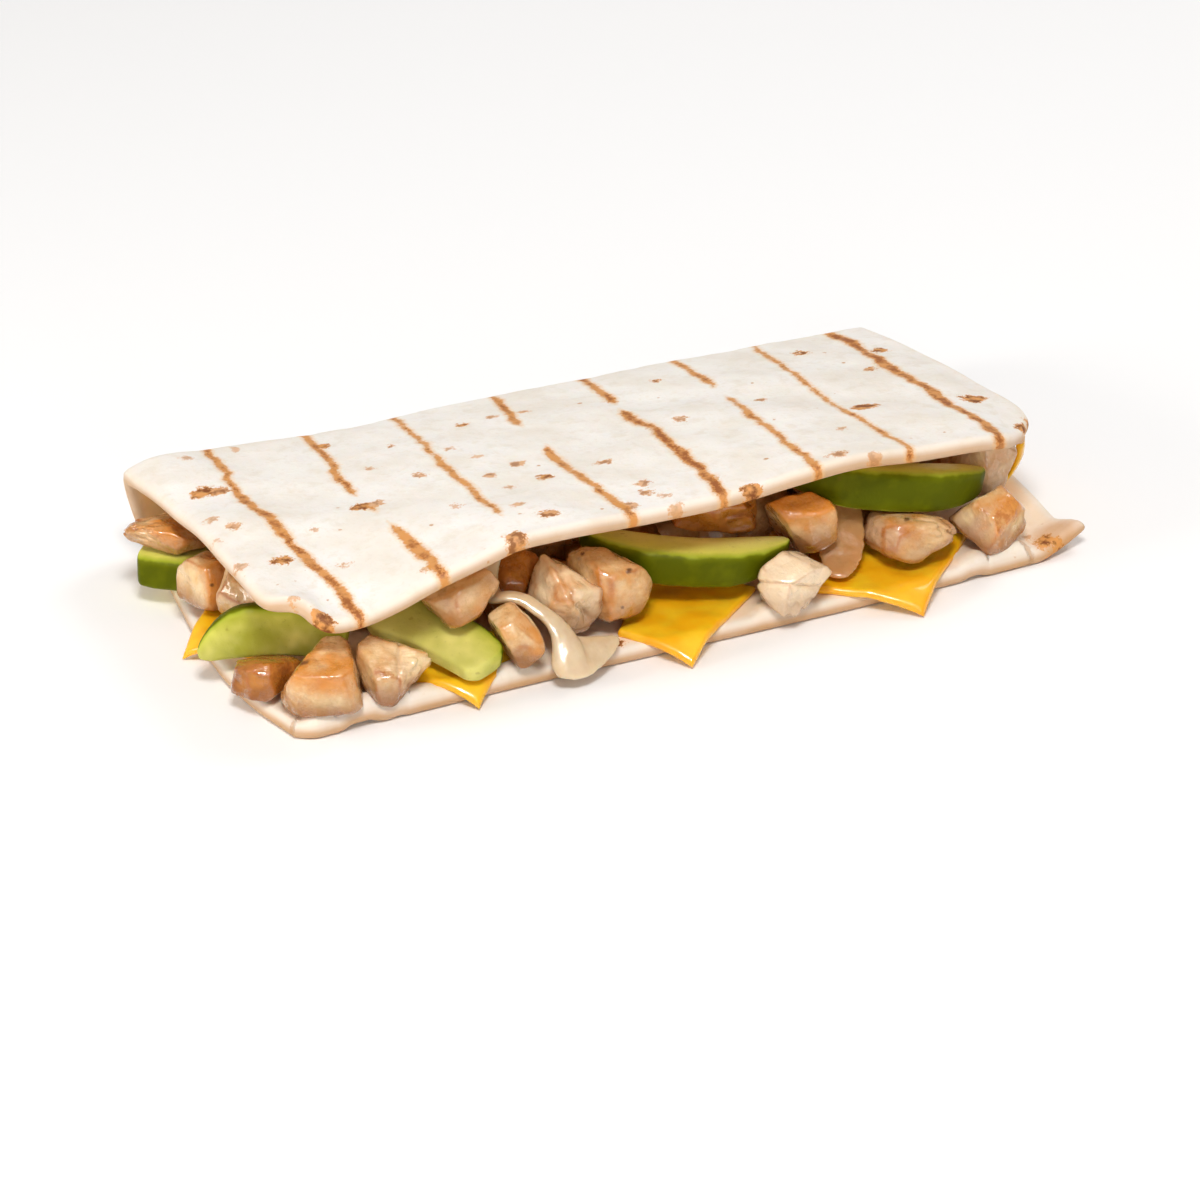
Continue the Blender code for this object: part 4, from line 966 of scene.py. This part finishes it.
def ribbon(route, widths, thicknesses, stations, ring, aside=None):
    # a flat oval carried along the route, its width level or as given, closed round at both ends
    angle = np.arange(ring) / ring * 2 * math.pi
    length = np.concatenate([[0], np.cumsum(np.linalg.norm(np.diff(route, axis=0), axis=1))])
    share, at = length / length[-1], np.linspace(0, 1, stations)
    path = curveThrough(share, route, at)
    tip = 1.2 / length[-1]
    closing = np.sqrt(1 - (1 - np.clip(np.minimum(at, 1 - at) / tip, 0.02, 1)) ** 2)
    width, thick = curveThrough(share, widths, at) * closing, curveThrough(share, thicknesses, at) * closing
    along = unit(np.gradient(path, axis=0))
    level = unit(np.cross(along, (0, 0, 1.0) if aside is None else np.cross(aside, along)))
    upright = np.cross(level, along)
    rings = np.cos(angle)[None, :, None] * (level * width[:, None])[:, None] / 2
    rings = path[:, None] + rings + np.sin(angle)[None, :, None] * (upright * thick[:, None])[:, None] / 2
    return np.concatenate([rings.reshape(-1, 3), rings[:1].mean(1), rings[-1:].mean(1)]), tubeFaces(stations, ring)


def melted(points, faceGroups, voxel, smoothing):  # one skin round closed shapes that pass through each other
    mesh = bpy.data.meshes.new("unmelted")
    mesh.from_pydata((points * mm).tolist(), [], [face for faces in faceGroups for face in faces.tolist()])
    blank = bpy.data.objects.new("unmelted", mesh)
    bpy.context.scene.collection.objects.link(blank)
    body = bmesh.new()
    body.from_mesh(mesh)
    bmesh.ops.recalc_face_normals(body, faces=body.faces)
    body.to_mesh(mesh)
    body.free()
    remesh = blank.modifiers.new("remesh", "REMESH")
    remesh.mode, remesh.voxel_size = "VOXEL", voxel * mm
    relax = blank.modifiers.new("relax", "SMOOTH")
    relax.factor, relax.iterations = 0.5, smoothing
    done = blank.evaluated_get(bpy.context.evaluated_depsgraph_get()).to_mesh()
    corners = np.empty(len(done.vertices) * 3)
    done.vertices.foreach_get("co", corners)
    faces = [tuple(face.vertices) for face in done.polygons]
    bpy.data.objects.remove(blank)
    sizes = sorted({len(face) for face in faces})
    return corners.reshape(-1, 3) / mm, [np.array([face for face in faces if len(face) == size]) for size in sizes]


def makeCheddarStrip(material):
    points, faceGroups = ribbon(*cheddarStrip[:3], whiteCut["stations"], whiteCut["ring"], cheddarStrip[3])
    points = points + 0.4 * layers(points, 4.0, 12)[:, None] * np.array([0.8, 0.4, 0.4])
    newPiece("tornCheddar", points, faceGroups, material, [], {"rim": np.zeros(len(points))})


def makeWhiteCheese(material, drawnShift):
    for node, ribbons in whiteLooks.items():
        allPoints, faceGroups = [], []
        for route, widths, thicknesses, *aside in ribbons:
            points, faces = ribbon(route, widths, thicknesses, whiteCut["stations"], whiteCut["ring"], *aside)
            first = sum(len(group) for group in allPoints)
            faceGroups += [group + first for group in faces]
            allPoints.append(points)
        points = np.concatenate(allPoints)
        points, faceGroups = melted(points, faceGroups, whiteCut["voxel"], whiteCut["smoothing"])
        points = points + whiteCut["wave"] * layers(points, 5.0, 8)[:, None] * np.array([0.3, -0.6, 0.7])
        name = "melted" + "".join(part.capitalize() for part in node.split("_"))
        marks = {"film": np.full(len(points), float(node in whiteCut["films"]))}
        newPiece(name, points + drawnShift, faceGroups, material, [node], marks)


def whiteCheeseFinish():
    finish = Finish(
        "meltedWhiteCheese", Subsurface_Weight=0.5, Subsurface_Scale=0.005, Subsurface_Radius=(1.0, 0.6, 0.3),
        Coat_Weight=0.6, Coat_Roughness=0.14,
    )
    where = finish.place()
    broad = finish.speckle(where, 7, 3)
    colour = finish.blend(broad.between(0.35, 0.65), tone(222, 200, 166), tone(208, 180, 142))
    colour = finish.blend(finish.mark("film") * 0.85, colour, tone(180, 122, 60))
    finish.link(
        Base_Color=colour,
        Roughness=0.28 + broad * 0.12,
        Normal=finish.relief(broad + finish.speckle(where, 2, 2) * 0.3, 0.4),
    )
    return finish.material


# ---------- the hidden filling

heapLook = {"shrink": 5.0, "size": (5.4, 7.2), "detail": 9, "inset": 6.5}


def underTheTortilla(points, drawnShift):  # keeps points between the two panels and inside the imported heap's box
    low, high = (np.array(corner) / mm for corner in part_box("chicken_heap"))
    x, y = points[:, 0] - drawnShift[0], points[:, 1] - drawnShift[1]
    back, crest = curveThrough(bread["backX"], bread["backZ"], x), curveThrough(bread["crestX"], bread["crestZ"], x)
    edge = curveThrough(bread["edgeX"], bread["edgeZ"], x)
    share = np.clip((bread["foldY"] - y) / (bread["foldY"] - bread["upperEdgeY"]), 0, 1)
    top = back + (crest - back) * share**0.9 - (crest - edge) * share**5 - bread["sheet"] / 2 - 1.2
    points[:, 2] = np.minimum(points[:, 2], top)
    return np.clip(points, low, high)


def makeHeap(chicken, drawnShift):
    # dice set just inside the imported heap's corners, over a core of the same outline drawn in
    corners, triangles = nodeCorners("chicken_heap")
    merged, back = np.unique(corners.round(3), axis=0, return_inverse=True)
    triangles = back.ravel()[triangles]
    a, b, c = (merged[triangles[:, k]] for k in range(3))
    facing = np.cross(b - a, c - a)
    normals = np.zeros_like(merged)
    for k in range(3):
        np.add.at(normals, triangles[:, k], facing)
    normals = unit(normals)
    core = merged - normals * heapLook["shrink"]
    plain = np.zeros(len(core))
    # the core is dark tan: painted shade for filling that lies in shadow
    still = {"sear": plain + 0.3, "tan": plain + 0.9, "gold": plain + 0.3, "char": plain, "pale": plain, "grain": core,
             "mauve": plain, "edge": plain, "outer": plain, "under": plain}
    newPiece("fillingCore", core, [triangles], chicken, [], still)
    directions, faces = cubeGrid(heapLook["detail"])
    allPoints, allFaces, allMarks = [], [], []
    for k, (corner, normal) in enumerate(zip(merged, normals)):
        chance = np.random.default_rng(500 + k)
        half = chance.uniform(*heapLook["size"]) * chance.uniform(0.8, 1.15, 3)
        planes = unit(np.concatenate([np.eye(3), -np.eye(3)]) + chance.uniform(-0.15, 0.15, (6, 3)))
        look = {
            "cuts": ((*chance.normal(size=3), half.min() * 0.9),), "crust": 0, "brown": chance.uniform(0.3, 0.8),
            "tan": chance.uniform(0.3, 0.9), "gold": chance.uniform(0.1, 0.8), "grain": chance.normal(size=3),
            "seed": 500 + k,
        }
        points, marks = diceShape(directions, planes, np.tile(half, 2), look, {**chickenCut, "fibre": 0.04})
        allFaces.append(faces + sum(len(group) for group in allPoints))
        allPoints.append(points + corner - normal * heapLook["inset"])
        allMarks.append(marks)
    marks = {mark: np.concatenate([one[mark] for one in allMarks]) for mark in allMarks[0]}
    points = underTheTortilla(np.concatenate(allPoints), drawnShift)
    newPiece("packedDice", points, [np.concatenate(allFaces)], chicken, ["chicken_heap"], marks)


# ---------- camera, light and floor

view = {
    "place": (-0.5552783, -1.1939642, 0.7133848),
    "yaw": 24.8542, "pitch": 28.7641, "roll": -0.9917,  # in degrees: right of +Y, downwards, clockwise
    "lens": 184.361,
}


def makeCamera():
    camera = bpy.data.objects.new("camera", bpy.data.cameras.new("camera"))
    bpy.context.scene.collection.objects.link(camera)
    camera.data.lens = view["lens"]
    camera.data.sensor_width = 36.0
    camera.data.clip_start = 0.05
    yaw, pitch, roll = (math.radians(view[key]) for key in ("yaw", "pitch", "roll"))
    turn = Matrix.Rotation(-yaw, 4, "Z") @ Matrix.Rotation(math.pi / 2 - pitch, 4, "X")
    camera.matrix_world = Matrix.Translation(view["place"]) @ turn @ Matrix.Rotation(roll, 4, "Z")
    bpy.context.scene.camera = camera


def areaLight(name, place, aim, size, power, colour):
    light = bpy.data.lights.new(name, "AREA")
    light.shape = "DISK"
    light.size = size
    light.energy = power
    light.color = colour
    lamp = bpy.data.objects.new(name, light)
    bpy.context.scene.collection.objects.link(lamp)
    towards = Vector(aim) - Vector(place)
    lamp.matrix_world = Matrix.Translation(place) @ towards.to_track_quat("-Z", "Y").to_matrix().to_4x4()
    return lamp


def makeStage():
    world = bpy.data.worlds.new("softRoom")
    bpy.context.scene.world = world
    world.use_nodes = True
    background = world.node_tree.nodes["Background"]
    background.inputs["Color"].default_value = (1.0, 0.985, 0.965, 1.0)
    background.inputs["Strength"].default_value = 0.37
    areaLight("key", (-0.32, -0.72, 1.22), (0, 0, 0.02), 0.38, 11.4, (1.0, 0.985, 0.965))
    areaLight("backTop", (0.75, 0.3, 0.95), (0.04, 0, 0), 0.5, 3.2, (1.0, 0.995, 0.99))
    areaLight("leftFill", (-1.15, 0.1, 0.42), (-0.08, 0, 0.02), 0.4, 4.8, (1.0, 0.96, 0.9))
    areaLight("frontFill", (-0.3, -1.3, 0.4), (0, 0, 0.02), 0.5, 2.4, (1.0, 0.97, 0.93))
    spark = areaLight("spark", (-0.5, -0.75, 1.1), (0, -0.04, 0.01), 0.13, 22.0, (1.0, 1.0, 1.0))
    spark.visible_diffuse = False  # it only draws small highlights
    spark.visible_transmission = False
    floorMesh = bpy.data.meshes.new("floor")
    reach = 4.0
    corners = [(-reach, -reach, 0), (reach, -reach, 0), (reach, reach, 0), (-reach, reach, 0)]
    floorMesh.from_pydata(corners, [], [(0, 1, 2, 3)])
    floor = bpy.data.objects.new("floor", floorMesh)
    bpy.context.scene.collection.objects.link(floor)
    paper = Finish("palePaper", Roughness=0.8, Specular_IOR_Level=0.1)
    paper.shader.inputs["Base Color"].default_value = tone(252, 252, 253)
    floorMesh.materials.append(paper.material)
    bpy.context.scene.view_settings.view_transform = "Standard"


makeCamera()
makeStage()
print("camera, lights and floor made")
drawnShift = makeTortilla(tortillaFinish())
print("tortilla made, drawn numbers move by", drawnShift.round(2))
chicken = chickenFinish()
makeChicken(chicken)
makeHeap(chicken, drawnShift)
print("chicken made")
makeAvocado(avocadoFinish())
print("avocado made")
cheddar = cheddarFinish()
makeCheddar(cheddar, drawnShift)
makeCheddarStrip(cheddar)
makeWhiteCheese(whiteCheeseFinish(), drawnShift)
print("cheese made")
